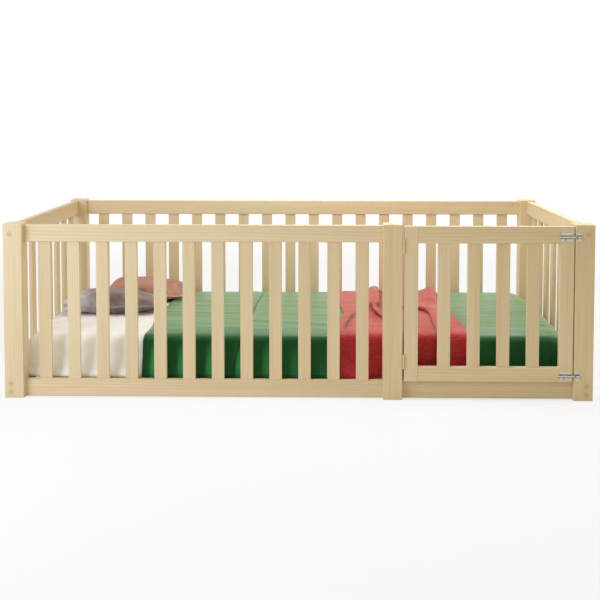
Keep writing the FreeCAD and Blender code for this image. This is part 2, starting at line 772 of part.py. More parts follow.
def cushion_form(length, width, height, shares):
    sections = []
    for place_share, width_share, height_share in shares:
        x = length * place_share - length / 2
        reach = width / 2 * width_share
        rise = height * height_share
        left = V(x, -reach, 0)
        right = V(x, reach, 0)
        upper = Part.Arc(left, V(x, 0, rise * (1 - cushion_belly_share)), right)
        lower = Part.Arc(right, V(x, 0, -rise * cushion_belly_share), left)
        belly = (lower.FirstParameter + lower.LastParameter) / 2
        lower_halves = [lower.toShape(lower.FirstParameter, belly), lower.toShape(belly, lower.LastParameter)]
        sections.append(Part.Wire([upper.toShape()] + lower_halves))
    return Part.makeLoft(sections, True)


def make_cushion(node, form, x, y, height):
    rest = mattress_base + mattress_height + mattress_crown + soft_gap
    lift = rest + height * (cushion_belly_share - cushion_sink_share)
    form.translate(V(x, y, lift))
    cover_room = mattress_form(cloth_layer + soft_gap)
    under_cover = cover_room.common(span_block(cover_start - soft_gap, right_x, 0))
    add(node, form.cut(mattress_form(soft_gap)).cut(under_cover))


def make_cushions():
    pink = cushion_form(pink_cushion_length, pink_cushion_width, pink_cushion_height, pink_cushion_shares)
    pink.rotate(V(0, 0, 0), Z_AXIS, pink_cushion_turn)
    pink_depth = pink.BoundBox.YLength
    pink_x = mattress_head + pink_cushion_head_gap + pink.BoundBox.XLength / 2
    pink_y = rear_rail_middle - rail_thickness / 2 - cushion_fence_gap - pink_depth / 2
    make_cushion("pink_cushion", pink, pink_x, pink_y, pink_cushion_height)
    grey = cushion_form(grey_cushion_length, grey_cushion_width, grey_cushion_height, grey_cushion_shares)
    grey_x = mattress_head + grey_cushion_head_gap + grey_cushion_length / 2
    grey_y = pink_y - pink_depth / 2 - cushion_gap - grey_cushion_width / 2
    make_cushion("grey_cushion", grey, grey_x, grey_y, grey_cushion_height)


# Assembly

make_posts()
make_rails()
make_fence_slats()
make_bolted_joints()
make_dowels()
make_gate()
make_hinge("upper", rail_top - hinge_inset)
make_hinge("lower", gate_base + hinge_inset)
make_latch("upper", rail_top - upper_latch_drop)
make_latch("lower", gate_base + lower_latch_rise)
make_base()
add("mattress", mattress_form(0))
make_cover()
make_throw()
make_cushions()

os.makedirs("parts", exist_ok=True)
for node, pieces in solids.items():
    tools = cuts.get(node)
    if tools:
        pieces = [piece.cut(tools) for piece in pieces]
    shape = pieces[0] if len(pieces) == 1 else Part.makeCompound(pieces)
    shape.exportStep("parts/" + node + ".step")
    print(node, len(shape.Solids), shape.isValid(), round(shape.Volume))
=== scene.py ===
import math

import bpy
import numpy as np
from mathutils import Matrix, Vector, noise


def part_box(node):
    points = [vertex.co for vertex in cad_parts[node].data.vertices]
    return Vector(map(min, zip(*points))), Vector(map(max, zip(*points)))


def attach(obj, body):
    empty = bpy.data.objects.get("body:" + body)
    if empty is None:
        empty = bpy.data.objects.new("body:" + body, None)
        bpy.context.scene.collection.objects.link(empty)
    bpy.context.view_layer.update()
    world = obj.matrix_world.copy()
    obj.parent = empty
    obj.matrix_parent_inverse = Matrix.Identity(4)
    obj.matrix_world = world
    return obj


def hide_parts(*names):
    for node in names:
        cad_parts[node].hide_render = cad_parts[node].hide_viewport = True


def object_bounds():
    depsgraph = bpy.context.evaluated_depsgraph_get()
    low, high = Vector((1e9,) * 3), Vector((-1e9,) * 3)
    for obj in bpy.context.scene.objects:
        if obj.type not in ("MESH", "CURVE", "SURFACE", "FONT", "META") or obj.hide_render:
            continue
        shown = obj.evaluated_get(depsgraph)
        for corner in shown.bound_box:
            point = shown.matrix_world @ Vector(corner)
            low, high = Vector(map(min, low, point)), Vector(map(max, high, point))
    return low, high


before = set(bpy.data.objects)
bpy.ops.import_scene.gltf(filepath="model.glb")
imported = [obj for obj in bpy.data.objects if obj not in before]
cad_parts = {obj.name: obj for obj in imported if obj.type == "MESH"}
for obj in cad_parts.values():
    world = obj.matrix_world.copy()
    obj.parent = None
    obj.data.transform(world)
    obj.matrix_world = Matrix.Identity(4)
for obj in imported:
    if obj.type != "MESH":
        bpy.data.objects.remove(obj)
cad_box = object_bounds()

# A child's floor bed in pine with a slatted fence and gate, dressed around its solids.
# Metres. X runs along the bed, the gate side faces -Y, Z is up.

X, Y, Z = 0, 1, 2

# Bedding sizes that the boxes of the solids don't give
MATTRESS_EDGE = 0.020
MATTRESS_CROWN = 0.007
MATTRESS_SINK = 0.002
FOOT_EDGE = 0.076
HEAD_EDGE = 0.062
HEM_HEIGHT = 0.0608
CLOTH_GAP = 0.0007
COVER_THICKNESS = 0.003
THROW_THICKNESS = 0.004

mattress_low, mattress_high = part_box("mattress")
cover_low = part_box("bed_cover")[0]
throw_low, throw_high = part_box("throw_blanket")
bed_middle = (mattress_low.y + mattress_high.y) / 2
mattress_top = mattress_high.z - MATTRESS_SINK
half_width = (mattress_high.y - mattress_low.y) / 2
half_length = (mattress_high.x - mattress_low.x) / 2
flat_half = half_width - MATTRESS_EDGE
cover_lift = CLOTH_GAP + COVER_THICKNESS / 2
throw_lift = 2 * CLOTH_GAP + COVER_THICKNESS + THROW_THICKNESS / 2


# Shader maths

# Sockets of the Mix node when it mixes colours
MIX_SHARE, MIX_FIRST, MIX_SECOND, MIX_RESULT = 0, 6, 7, 2


class Signal:
    """One socket of a node tree; arithmetic on it adds Math nodes to that tree."""

    def __init__(self, tree, socket=None):
        self.tree = tree
        self.socket = socket

    def node(self, kind, settings, sockets, output=0):
        """Adds any node: its type, its settings, then the values or links of its sockets."""
        made = self.tree.nodes.new(kind)
        for name, value in settings.items():
            setattr(made, name, value)
        for name, value in sockets.items():
            if isinstance(value, Signal):
                self.tree.links.new(value.socket, made.inputs[name])
            else:
                made.inputs[name].default_value = value
        return Signal(self.tree, made.outputs[output])

    def maths(self, operation, *values):
        """Adds a Math node."""
        return self.node("ShaderNodeMath", {"operation": operation}, dict(enumerate(values)))

    def __add__(self, other):
        return self.maths("ADD", self, other)

    def __radd__(self, other):
        return self.maths("ADD", other, self)

    def __sub__(self, other):
        return self.maths("SUBTRACT", self, other)

    def __rsub__(self, other):
        return self.maths("SUBTRACT", other, self)

    def __mul__(self, other):
        return self.maths("MULTIPLY", self, other)

    def __rmul__(self, other):
        return self.maths("MULTIPLY", other, self)

    def __pow__(self, other):
        return self.maths("POWER", self, other)

    def lesser(self, other):
        return self.maths("MINIMUM", self, other)

    def greater(self, other):
        return self.maths("MAXIMUM", self, other)

    def distance(self, target):
        """How far this value is from a target, either way."""
        return self.maths("ABSOLUTE", self - target)

    def swing(self, amount):
        """Noise about its middle value, scaled by an amount."""
        return (self - 0.5) * amount

    def wave(self, length):
        """A sine from -1 to 1 with this wavelength."""
        return self.maths("SINE", self * (2 * math.pi / length))

    def step(self, low, high):
        """Rises smoothly from 0 at low to 1 at high."""
        sockets = {"Value": self, "From Min": low, "From Max": high}
        return self.node("ShaderNodeMapRange", {"interpolation_type": "SMOOTHSTEP"}, sockets)

    def marked(self, name):
        """The number kept at each point under a name."""
        return self.node("ShaderNodeAttribute", {"attribute_name": name}, {}, "Fac")

    def axis(self, index):
        """One axis of a place."""
        return self.node("ShaderNodeSeparateXYZ", {}, {0: self}, index)

    def noise(self, count, detail):
        """Cloudy noise with this count to the metre."""
        return self.node("ShaderNodeTexNoise", {}, {"Vector": self, "Scale": count, "Detail": detail})

    def drawn(self, counts, detail):
        """Noise drawn out by its own count to the metre on each axis."""
        sockets = {0: self, 1: counts}
        return self.node("ShaderNodeVectorMath", {"operation": "MULTIPLY"}, sockets).noise(1, detail)

    def mix(self, first, second):
        """A colour between two, with this value as the share of the second."""
        sockets = {MIX_SHARE: self, MIX_FIRST: opaque(first), MIX_SECOND: opaque(second)}
        return self.node("ShaderNodeMix", {"data_type": "RGBA"}, sockets, MIX_RESULT)


def opaque(colour):
    """A plain colour with full alpha, or a signal as it is."""
    return colour if isinstance(colour, Signal) else (*colour, 1)


def finish(name, paint, even, bump, flat_map=False):
    """A material: paint gives colour, roughness, height and maybe coat at a place, other sockets are even."""
    material = bpy.data.materials.new(name)
    material.use_nodes = True
    tree = material.node_tree
    shader = tree.nodes["Principled BSDF"]
    for socket, value in even.items():
        shader.inputs[socket].default_value = value
    if flat_map:
        place = Signal(tree).node("ShaderNodeUVMap", {"uv_map": "flat"}, {})
    else:
        place = Signal(tree).node("ShaderNodeTexCoord", {}, {}, "Object")
    colour, roughness, height, *coat = paint(place)
    normal = height.node("ShaderNodeBump", {}, {"Strength": 1, "Distance": bump, "Height": height})
    sockets = ("Base Color", "Roughness", "Normal", "Coat Weight")
    for socket, signal in zip(sockets, (colour, roughness, normal, *coat)):
        tree.links.new(signal.socket, shader.inputs[socket])
    return material


# Wood finishes

# Colours are linear, counts are to the metre, and plain factors share out colour, roughness and height
PINE_EARLY = (0.800, 0.675, 0.455)
PINE_LATE = (0.600, 0.440, 0.230)
# Painted shade: a darker copy of the pine for the left end's rails and slats
SHADED_EARLY = (0.740, 0.600, 0.380)
SHADED_LATE = (0.550, 0.385, 0.190)
# Painted light: a paler copy of the pine for the right end's rails
LIT_EARLY = (0.860, 0.735, 0.510)
LIT_LATE = (0.660, 0.495, 0.270)
BASE_EARLY = (0.720, 0.570, 0.350)
BASE_LATE = (0.480, 0.320, 0.150)
DOWEL_EARLY = (0.700, 0.520, 0.330)
DOWEL_LATE = (0.560, 0.380, 0.210)

RING_WIDTH = 0.0065
BASE_RING_WIDTH = 0.005
DOWEL_RING_WIDTH = 0.002
RING_SIDE_SHARE = 0.83
RING_THROUGH_SHARE = 0.55
RING_DRIFT = 5
LATEWOOD_POWER = 2.6
LACQUER = 0.12
WOOD_RELIEF = 0.0005

# Counts along the grain and across it
DRIFT_COUNTS = (0.5, 5.0)
FIBRE_COUNTS = (8, 430)
STREAK_COUNTS = (1.4, 60)
TONE_COUNTS = (0.5, 8)


def grained(grain, along, across):
    """Counts for the three axes, with one value along the grain and one across it."""
    counts = [across, across, across]
    counts[grain] = along
    return counts


def pine(name, grain, early, late, ring=RING_WIDTH, coat=LACQUER):
    """Planed pine with its rings and fibres along one axis."""
    def paint(place):
        side = place.axis((grain + 1) % 3)
        through = place.axis((grain + 2) % 3)
        drift = place.drawn(grained(grain, *DRIFT_COUNTS), detail=2)
        cut = side * RING_SIDE_SHARE + through * RING_THROUGH_SHARE
        rings = cut * (1 / ring) + drift * RING_DRIFT
        latewood = rings.maths("FRACT", rings) ** LATEWOOD_POWER
        fibre = place.drawn(grained(grain, *FIBRE_COUNTS), detail=3)
        streak = place.drawn(grained(grain, *STREAK_COUNTS), detail=2)
        tone = place.drawn(grained(grain, *TONE_COUNTS), detail=1)
        share = latewood * 0.34 + fibre.swing(0.5) + streak.swing(0.5) + tone.swing(0.7) + 0.28
        colour = share.mix(early, late)
        return colour, 0.40 + fibre * 0.22, fibre * 0.7 - latewood * 0.3
    even = {"Coat Weight": coat, "Coat Roughness": 0.35, "Specular IOR Level": 0.4}
    return finish(name, paint, even, WOOD_RELIEF)


# Metal and plastic finishes

STEEL_DARK = (0.42, 0.385, 0.325)
STEEL_PALE = (0.70, 0.645, 0.56)
# Painted shade for the band beside each latch bar
STEEL_BAR_SHADE = (0.075, 0.065, 0.050)
BRUSH_COUNTS = (60, 1400, 1400)
BRUSH_RELIEF = 0.00006
BAR_SHADE_STARTS = (0.0029, 0.0035)
BAR_SHADE_ENDS = (0.0050, 0.0085)
BRASS_BRIGHT = (0.80, 0.60, 0.32)
BRASS_DULL = (0.55, 0.39, 0.19)
TURNED_COUNTS = (300, 300, 2600)
TURNED_RELIEF = 0.00005
ZINC_BRIGHT = (0.70, 0.60, 0.40)
ZINC_DULL = (0.50, 0.41, 0.26)
SPANGLE_COUNT = 420
SPANGLE_RELIEF = 0.00004
CAP_PALE = (0.68, 0.50, 0.280)
CAP_DARK = (0.58, 0.41, 0.21)
SPARK_COUNT = 2600
SPARK_RELIEF = 0.00005


def brushed_steel():
    """Satin barrel bolts with a brush grain along their bars, and painted shade in a band beside each bar."""
    bars = map(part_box, ("upper_latch_bar", "lower_latch_bar"))
    heights = [(low.z + high.z) / 2 for low, high in bars]

    def paint(place):
        brush = place.drawn(BRUSH_COUNTS, detail=3)
        smudge = place.noise(count=55, detail=2)
        off_upper, off_lower = [place.axis(Z).distance(height) for height in heights]
        off_bar = off_upper.lesser(off_lower)
        # Painted shade: a dark band on the plates a few millimetres from each bar
        bar_shade = off_bar.step(*BAR_SHADE_STARTS) * (1 - off_bar.step(*BAR_SHADE_ENDS))
        unshaded_steel = (brush * 0.6 + smudge * 0.4).mix(STEEL_DARK, STEEL_PALE)
        colour = (bar_shade * 0.8).mix(unshaded_steel, STEEL_BAR_SHADE)
        return colour, 0.22 + brush * 0.16 + smudge * 0.12, brush
    return finish("brushed_steel", paint, {"Metallic": 1.0}, BRUSH_RELIEF)


def hinge_brass():
    """Hinges of turned brass, gone dull in places."""
    def paint(place):
        turned = place.drawn(TURNED_COUNTS, detail=2)
        dull = place.noise(count=70, detail=3)
        colour = (turned * 0.4 + dull * 0.6).mix(BRASS_BRIGHT, BRASS_DULL)
        return colour, 0.26 + dull * 0.26, turned
    return finish("hinge_brass", paint, {"Metallic": 1.0}, TURNED_RELIEF)


def zinc_plate():
    """Yellow zinc on the bolts, nuts and wood screws."""
    def paint(place):
        sockets = {"Vector": place, "Scale": SPANGLE_COUNT}
        spangle = place.node("ShaderNodeTexVoronoi", {}, sockets, "Distance")
        dull = place.noise(count=120, detail=2)
        colour = (spangle * 0.6 + dull * 0.4).mix(ZINC_BRIGHT, ZINC_DULL)
        return colour, 0.28 + dull * 0.2, spangle
    return finish("zinc_plate", paint, {"Metallic": 1.0}, SPANGLE_RELIEF)


def cap_plastic():
    """Tan moulded caps over the bolt heads, with a fine spark finish."""
    def paint(place):
        spark = place.noise(count=SPARK_COUNT, detail=2)
        shade = place.noise(count=140, detail=2)
        colour = (shade * 0.7 + spark * 0.3).mix(CAP_PALE, CAP_DARK)
        return colour, 0.38 + spark * 0.2, spark
    return finish("cap_plastic", paint, {"Specular IOR Level": 0.45}, SPARK_RELIEF)


# Cloth finishes

COTTON_DYED = (0.007, 0.145, 0.030)
COTTON_SHADED = (0.004, 0.085, 0.016)
# Painted shade for where the cover hangs down the front and foot
COTTON_HUNG_SHADE = (0.001, 0.045, 0.007)
# Painted highlight for the bands beside the upright folds
COTTON_LIT_BAND = (0.030, 0.270, 0.065)
# Painted shade for the groove along the seam
COTTON_GROOVE_SHADE = (0.001, 0.020, 0.004)
COTTON_THREAD = (0.05, 0.22, 0.09)
COTTON_SLUB_COUNTS = (30, 900, 1)
COTTON_RIB = 0.0030
COTTON_WEFT = 0.0022
COTTON_RELIEF = 0.0006
SEAM_BEND = 0.03
SEAM_BEND_SPAN = (0.05, 0.19)
SEAM_GROOVE = (0.0025, 0.0065)
HEM_INSET = 0.018
HEM_STITCH = 0.005
STITCH_GAP = (-0.7, -0.3)
THREAD_EDGE = (0.0004, 0.0012)

WOOL_RED = (0.595, 0.034, 0.046)
WOOL_DARK = (0.330, 0.012, 0.018)
WOOL_FLECK = (0.78, 0.14, 0.12)
# Painted shade for the hollows of the folds
WOOL_HOLLOW_SHADE = (0.060, 0.002, 0.003)
WOOL_FLECK_COUNTS = (120, 230, 1)
WOOL_BLOTCH_COUNTS = (34, 60, 1)
WOOL_SPECK_COUNTS = (150, 130, 1)
WOOL_SPECK_EDGE = (0.60, 0.72)
KNIT_RIB = 0.0078
KNIT_STITCH = 0.0052
KNIT_DRIFT = 0.0012
KNIT_RELIEF = 0.0011

SHEET_FRESH = (0.935, 0.935, 0.970)
SHEET_USED = (0.875, 0.873, 0.905)
# Painted light for the sheet's sides
SHEET_SIDE_LIGHT = (0.975, 0.985, 1.000)
SHEET_WALE = 0.0024
SHEET_RELIEF = 0.0003

VELVET_PALE = (0.270, 0.203, 0.206)
VELVET_DARK = (0.135, 0.099, 0.099)
# Painted light for the pale lilac end
VELVET_LIT_END = (0.680, 0.645, 0.800)
VELVET_PIPING = (0.420, 0.350, 0.360)
VELVET_STROKE_COUNTS = (14, 22, 1)
VELVET_STROKE_EDGE = (0.30, 0.70)
VELVET_LIT_END_EDGE = (0.07, 0.27)
VELVET_RELIEF = 0.0005

LINEN_PALE = (0.505, 0.255, 0.186)
LINEN_DARK = (0.355, 0.160, 0.110)
LINEN_PIPING = (0.760, 0.520, 0.420)
LINEN_WARP_COUNTS = (900, 40, 1)
LINEN_WEFT_COUNTS = (40, 900, 1)
LINEN_SLUB_COUNTS = (50, 240, 1)
LINEN_WEAVE = 0.0019
LINEN_RELIEF = 0.0006
PIPING_EDGE = (0.002, 0.005)


def from_edge(place, size):
    """How far a place on a flat cloth is from its nearest edge."""
    along, across = place.axis(X), place.axis(Y)
    from_end = along.lesser(size[0] - along)
    from_side = across.lesser(size[1] - across)
    return from_end.lesser(from_side)


def stitched_edge(place, size):
    """A sewn hem line round a flat cloth: 1 on the thread, 0 elsewhere."""
    off_line = from_edge(place, size).distance(HEM_INSET)
    dash = (place.axis(X) + place.axis(Y)).wave(HEM_STITCH).step(*STITCH_GAP)
    return (1 - off_line.step(*THREAD_EDGE)) * dash


def cover_cotton(size, seam):
    """Green woven cotton: fine ribs, a seam across and a sewn hem."""
    def paint(place):
        along, across = place.axis(X), place.axis(Y)
        rib = across.wave(COTTON_RIB) * 0.5 + along.wave(COTTON_WEFT) * 0.3
        slub = place.drawn(COTTON_SLUB_COUNTS, detail=2)
        fade = place.noise(count=5, detail=3)
        thread = stitched_edge(place, size)
        from_seam = along - seam + SEAM_BEND * (1 - across.step(*SEAM_BEND_SPAN))
        groove = 1 - from_seam.distance(0).step(*SEAM_GROOVE)
        share = slub.swing(0.9) + fade.swing(0.9) + 0.45
        dyed = share.mix(COTTON_DYED, COTTON_SHADED)
        # Painted shade: where the cover hangs, its colour darkens and its coat thins, so the front reads
        # darker than the top
        hung_shade = place.marked("hung_shade")
        deep = (hung_shade * 0.50).mix(dyed, COTTON_HUNG_SHADE)
        # Painted highlight: pale bands on the flank of each upright fold, as where the key light falls
        lit_band = (place.marked("lit_band") * 0.80).mix(deep, COTTON_LIT_BAND)
        # Painted shade: the seam's groove is dark, less so where the cover hangs, and loses its coat
        sewn = (groove * (0.9 - hung_shade * 0.4)).mix(lit_band, COTTON_GROOVE_SHADE)
        colour = thread.mix(sewn, COTTON_THREAD)
        height = rib * 0.35 + slub * 0.5 + thread * 1.2 - groove * 2.2
        return colour, 0.62 + slub * 0.2, height, (1 - hung_shade * 0.9) * (1 - groove)
    even = {"Sheen Weight": 1.0, "Sheen Roughness": 0.40, "Sheen Tint": (0.70, 0.95, 0.62, 1),
            "Specular IOR Level": 0.15, "Coat IOR": 1.56, "Coat Roughness": 0.42}
    return finish("green_cotton", paint, even, COTTON_RELIEF, flat_map=True)


def throw_knit():
    """Red melange knit with ribs along the bed."""
    def paint(place):
        along, across = place.axis(X), place.axis(Y)
        drift = place.noise(count=60, detail=1)
        rib = (across + drift * KNIT_DRIFT).wave(KNIT_RIB)
        stitch = (along + across * 0.5).wave(KNIT_STITCH)
        fleck = place.drawn(WOOL_FLECK_COUNTS, detail=3)
        blotch = place.drawn(WOOL_BLOTCH_COUNTS, detail=2)
        speck = place.drawn(WOOL_SPECK_COUNTS, detail=1).step(*WOOL_SPECK_EDGE)
        tone = place.noise(count=7, detail=2)
        share = fleck.swing(2.2) + blotch.swing(1.1) + 0.5 + tone.swing(0.5) - rib * 0.05
        wool = share.mix(WOOL_RED, WOOL_DARK)
        flecked = (speck * 0.28).mix(wool, WOOL_FLECK)
        # Painted shade in the hollows beside the folds
        colour = (place.marked("hollow") * 0.85).mix(flecked, WOOL_HOLLOW_SHADE)
        return colour, 0.75 + fleck * 0.15, rib * 0.4 + stitch * 0.3 + fleck * 0.9
    even = {"Sheen Weight": 1.0, "Sheen Roughness": 0.42, "Sheen Tint": (0.86, 0.61, 0.53, 1),
            "Specular IOR Level": 0.15, "Coat Weight": 0.6, "Coat IOR": 1.3, "Coat Roughness": 0.45}
    return finish("red_knit", paint, even, KNIT_RELIEF, flat_map=True)


def sheet_jersey():
    """White fitted sheet in fine jersey, with painted light that makes its sides paler than its top."""
    def paint(place):
        wale = place.axis(X).wave(SHEET_WALE) * 0.4
        fuzz = place.noise(count=700, detail=2)
        soft = place.noise(count=6, detail=3)
        used = (soft * 0.7 + fuzz * 0.3).mix(SHEET_FRESH, SHEET_USED)
        # Painted light: the sides of the sheet are paler and bluer than its top
        colour = place.marked("side").mix(used, SHEET_SIDE_LIGHT)
        return colour, 0.72 + fuzz * 0.15, fuzz * 0.6 + wale * 0.4
    even = {"Sheen Weight": 0.15, "Sheen Roughness": 0.5, "Specular IOR Level": 0.2}
    return finish("sheet_jersey", paint, even, SHEET_RELIEF)


def cushion_velvet(size):
    """Grey-mauve velvet whose pile lies in soft strokes, with painted light that makes one end pale lilac,
    and a piped edge.
    """
    def paint(place):
        stroke = place.drawn(VELVET_STROKE_COUNTS, detail=3)
        pile = place.noise(count=1500, detail=2)
        mauve = (stroke.step(*VELVET_STROKE_EDGE) * 0.8 + pile * 0.2).mix(VELVET_PALE, VELVET_DARK)
        # Painted light: one end is pale lilac, as where the key light falls on it
        from_end = place.axis(X) + place.axis(Y) * 0.15 + stroke * 0.10
        lit_end = 1 - from_end.step(*VELVET_LIT_END_EDGE)
        velvet_lit = (lit_end * 0.9).mix(mauve, VELVET_LIT_END)
        piping = 1 - from_edge(place, size).step(*PIPING_EDGE)
        colour = (piping * 0.5).mix(velvet_lit, VELVET_PIPING)
        return colour, 0.7 + pile * 0.2, pile * 0.4 + stroke * 0.2 + piping
    even = {"Sheen Weight": 0.8, "Sheen Roughness": 0.35, "Sheen Tint": (0.86, 0.74, 0.84, 1),
            "Specular IOR Level": 0.25}
    return finish("mauve_velvet", paint, even, VELVET_RELIEF, flat_map=True)


def cushion_linen(size):
    """Terracotta linen with slubs both ways and a piped edge."""
    def paint(place):
        warp = place.drawn(LINEN_WARP_COUNTS, detail=2)
        weft = place.drawn(LINEN_WEFT_COUNTS, detail=2)
        weave = place.axis(X).wave(LINEN_WEAVE) * place.axis(Y).wave(LINEN_WEAVE)
        slub = place.drawn(LINEN_SLUB_COUNTS, detail=2)
        tone = place.noise(count=9, detail=2)
        share = warp.swing(0.7) + weft.swing(0.7) + slub.swing(1.0) + tone.swing(0.8) + 0.45
        woven = share.mix(LINEN_PALE, LINEN_DARK)
        piping = 1 - from_edge(place, size).step(*PIPING_EDGE)
        colour = (piping * 0.7).mix(woven, LINEN_PIPING)
        return colour, 0.72 + warp * 0.16, weave * 0.3 + warp * 0.4 + weft * 0.4 + piping
    even = {"Sheen Weight": 0.5, "Sheen Roughness": 0.4, "Sheen Tint": (1.0, 0.78, 0.70, 1),
            "Specular IOR Level": 0.3}
    return finish("terracotta_linen", paint, even, LINEN_RELIEF, flat_map=True)


# Modelling helpers

SEED_SPACING = 7.31


def begin_piece():
    """Leaves nothing selected, so that an operator acts on the new piece alone."""
    bpy.ops.object.select_all(action="DESELECT")


def apply_modifier(piece, kind, **settings):
    """Adds one modifier with its settings and applies it to the mesh."""
    bpy.context.view_layer.objects.active = piece
    modifier = piece.modifiers.new(kind.lower(), kind)
    for key, value in settings.items():
        setattr(modifier, key, value)
    bpy.ops.object.modifier_apply(modifier=modifier.name)


def points_of(piece):
    """The points of a mesh, a row each."""
    flat = np.zeros(len(piece.data.vertices) * 3)
    piece.data.vertices.foreach_get("co", flat)
    return flat.reshape(-1, 3)


def set_points(piece, points):
    """Moves the points of a mesh to the given rows."""
    piece.data.vertices.foreach_set("co", np.asarray(points, float).ravel())
    piece.data.update()


def smooth_faces(piece):
    """Shades a whole piece smooth."""
    begin_piece()
    piece.select_set(True)
    bpy.context.view_layer.objects.active = piece
    bpy.ops.object.shade_smooth()


def select_edges(piece, wanted):
    """Selects the edges whose two ends pass the test, for the next edit-mode operator."""
    bpy.context.view_layer.objects.active = piece
    bpy.ops.object.mode_set(mode="EDIT")
    bpy.ops.mesh.select_mode(type="EDGE")
    bpy.ops.mesh.select_all(action="DESELECT")
    bpy.ops.object.mode_set(mode="OBJECT")
    spots = [vertex.co for vertex in piece.data.vertices]
    for edge in piece.data.edges:
        edge.select = wanted(spots[edge.vertices[0]], spots[edge.vertices[1]])


def dress(piece, material):
    """Gives a piece one material."""
    piece.data.materials.clear()
    piece.data.materials.append(material)


def mark(piece, name, values):
    """Keeps one number at each point of a piece, for its finish to read."""
    layer = piece.data.attributes.new(name, "FLOAT", "POINT")
    layer.data.foreach_set("value", np.asarray(values, float))


def rising(low, high, value):
    """0 up to low, 1 from high on, smooth between them."""
    share = np.clip((np.asarray(value, float) - low) / (high - low), 0, 1)
    return share * share * (3 - 2 * share)


def falling(low, high, value):
    """1 up to low, 0 from high on, smooth between them."""
    return rising(-high, -low, -value)


def wander(a, b, counts, seed):
    """Smooth noise from about -1 to 1 over two lists of numbers, with a count to the metre for each."""
    first, second = np.broadcast_arrays(np.asarray(a, float) * counts[0], np.asarray(b, float) * counts[1])
    lift = seed * SEED_SPACING
    values = [noise.noise(Vector((p, q, lift))) for p, q in zip(first.ravel(), second.ravel())]
    return np.array(values).reshape(first.shape)


def cloth_grid(name, size, cell):
    """A flat grid of quads, one metre square, with the cloth's flat size in metres as its UV map."""
    begin_piece()
    columns, rows = (round(length / cell) for length in size)
    bpy.ops.mesh.primitive_grid_add(x_subdivisions=columns, y_subdivisions=rows, size=1, calc_uvs=True)
    sheet = bpy.context.object
    sheet.name = name
    uv = np.zeros(len(sheet.data.loops) * 2)
    layer = sheet.data.uv_layers.active
    layer.name = "flat"
    layer.data.foreach_get("uv", uv)
    layer.data.foreach_set("uv", (uv.reshape(-1, 2) * size).ravel())
    return sheet


# Draping over the mattress

# Across runs from the middle of the bed, with the front positive
HEM_FLARE = 0.016
FLARE_POST_SHARE = 0.5
FLARE_STARTS = (-0.995, -0.96)
FLARE_ENDS = (0.25, 0.30)
FLARE_FRONT = (0.36, 0.42)
FLARE_HEIGHT = (0.063, 0.150)


def drape(along, across, lift):
    """Points and normals of a cloth laid on the mattress."""
    flat_end = half_length - FOOT_EDGE
    past_side = np.maximum(np.abs(across) - flat_half, 0)
    past_end = np.maximum(along - flat_end, 0)
    past = np.maximum(past_side, past_end)
    lesser = np.minimum(past_side, past_end) / np.where(past > 0, past, 1) * math.pi / 4
    round_corner = np.where(past_end > past_side, math.pi / 2 - lesser, lesser)
    side_share = np.cos(round_corner) * -np.sign(across) * (past > 0)
    end_share = np.sin(round_corner) * (past > 0)
    radius = MATTRESS_EDGE + (FOOT_EDGE - MATTRESS_EDGE) * end_share ** 2 + lift
    turn = np.minimum(past / radius, math.pi / 2)
    reach = radius * np.sin(turn)
    fall = radius * (1 - np.cos(turn)) + np.maximum(past - radius * math.pi / 2, 0)
    inner = np.clip(across, -flat_half, flat_half)
    crown = MATTRESS_CROWN * (1 - (inner / flat_half) ** 2)
    x = np.minimum(along, flat_end) + end_share * reach
    y = bed_middle - inner + side_share * reach
    z = mattress_top + lift + crown - fall
    normal = np.stack([end_share * np.sin(turn), side_share * np.sin(turn), np.cos(turn)], axis=-1)
    return np.stack([x, y, z], axis=-1), normal


def drop_to(height, lift):
    """How far a cloth reaches across from the middle to hang down to a height."""
    radius = MATTRESS_EDGE + lift
    return flat_half + radius * math.pi / 2 + mattress_top + lift - radius - height


def flare(spots):
    """How far bedding swings forward near its bottom, between the corner post and the gate post."""
    past_corner = FLARE_POST_SHARE + (1 - FLARE_POST_SHARE) * rising(*FLARE_STARTS, spots[:, X])
    between = past_corner * falling(*FLARE_ENDS, spots[:, X])
    front = rising(*FLARE_FRONT, bed_middle - spots[:, Y])
    return HEM_FLARE * between * front * falling(*FLARE_HEIGHT, spots[:, Z])


# Cloth simulation

CLOTH_QUALITY = 5
CLOTH_MASS = 0.25
CLOTH_STIFFNESS = 15
CLOTH_SHEAR = CLOTH_STIFFNESS / 3
CLOTH_BENDING = 0.4
LEAST_MOVE = 1e-9


def swell(piece, pressure, frames, cap):
    """Blows a closed form up as cloth, with no point moving further than the cap."""
    scene = bpy.context.scene
    start = points_of(piece)
    cloth = piece.modifiers.new("cloth", "CLOTH")
    cloth.settings.quality = CLOTH_QUALITY
    cloth.settings.mass = CLOTH_MASS
    cloth.settings.tension_stiffness = CLOTH_STIFFNESS
    cloth.settings.compression_stiffness = CLOTH_STIFFNESS
    cloth.settings.shear_stiffness = CLOTH_SHEAR
    cloth.settings.bending_stiffness = CLOTH_BENDING
    cloth.settings.use_pressure = True
    cloth.settings.uniform_pressure_force = pressure
    cloth.settings.effector_weights.gravity = 0
    cloth.collision_settings.use_self_collision = False
    cloth.point_cache.frame_end = frames
    for step in range(1, frames + 1):
        scene.frame_set(step)
    bpy.context.view_layer.objects.active = piece
    bpy.ops.object.modifier_apply(modifier=cloth.name)
    scene.frame_set(1)
    moved = points_of(piece) - start
    length = np.linalg.norm(moved, axis=1)
    share = np.minimum(1, cap / np.maximum(length, LEAST_MOVE))
    set_points(piece, start + moved * share[:, None])


# Mattress in its fitted sheet

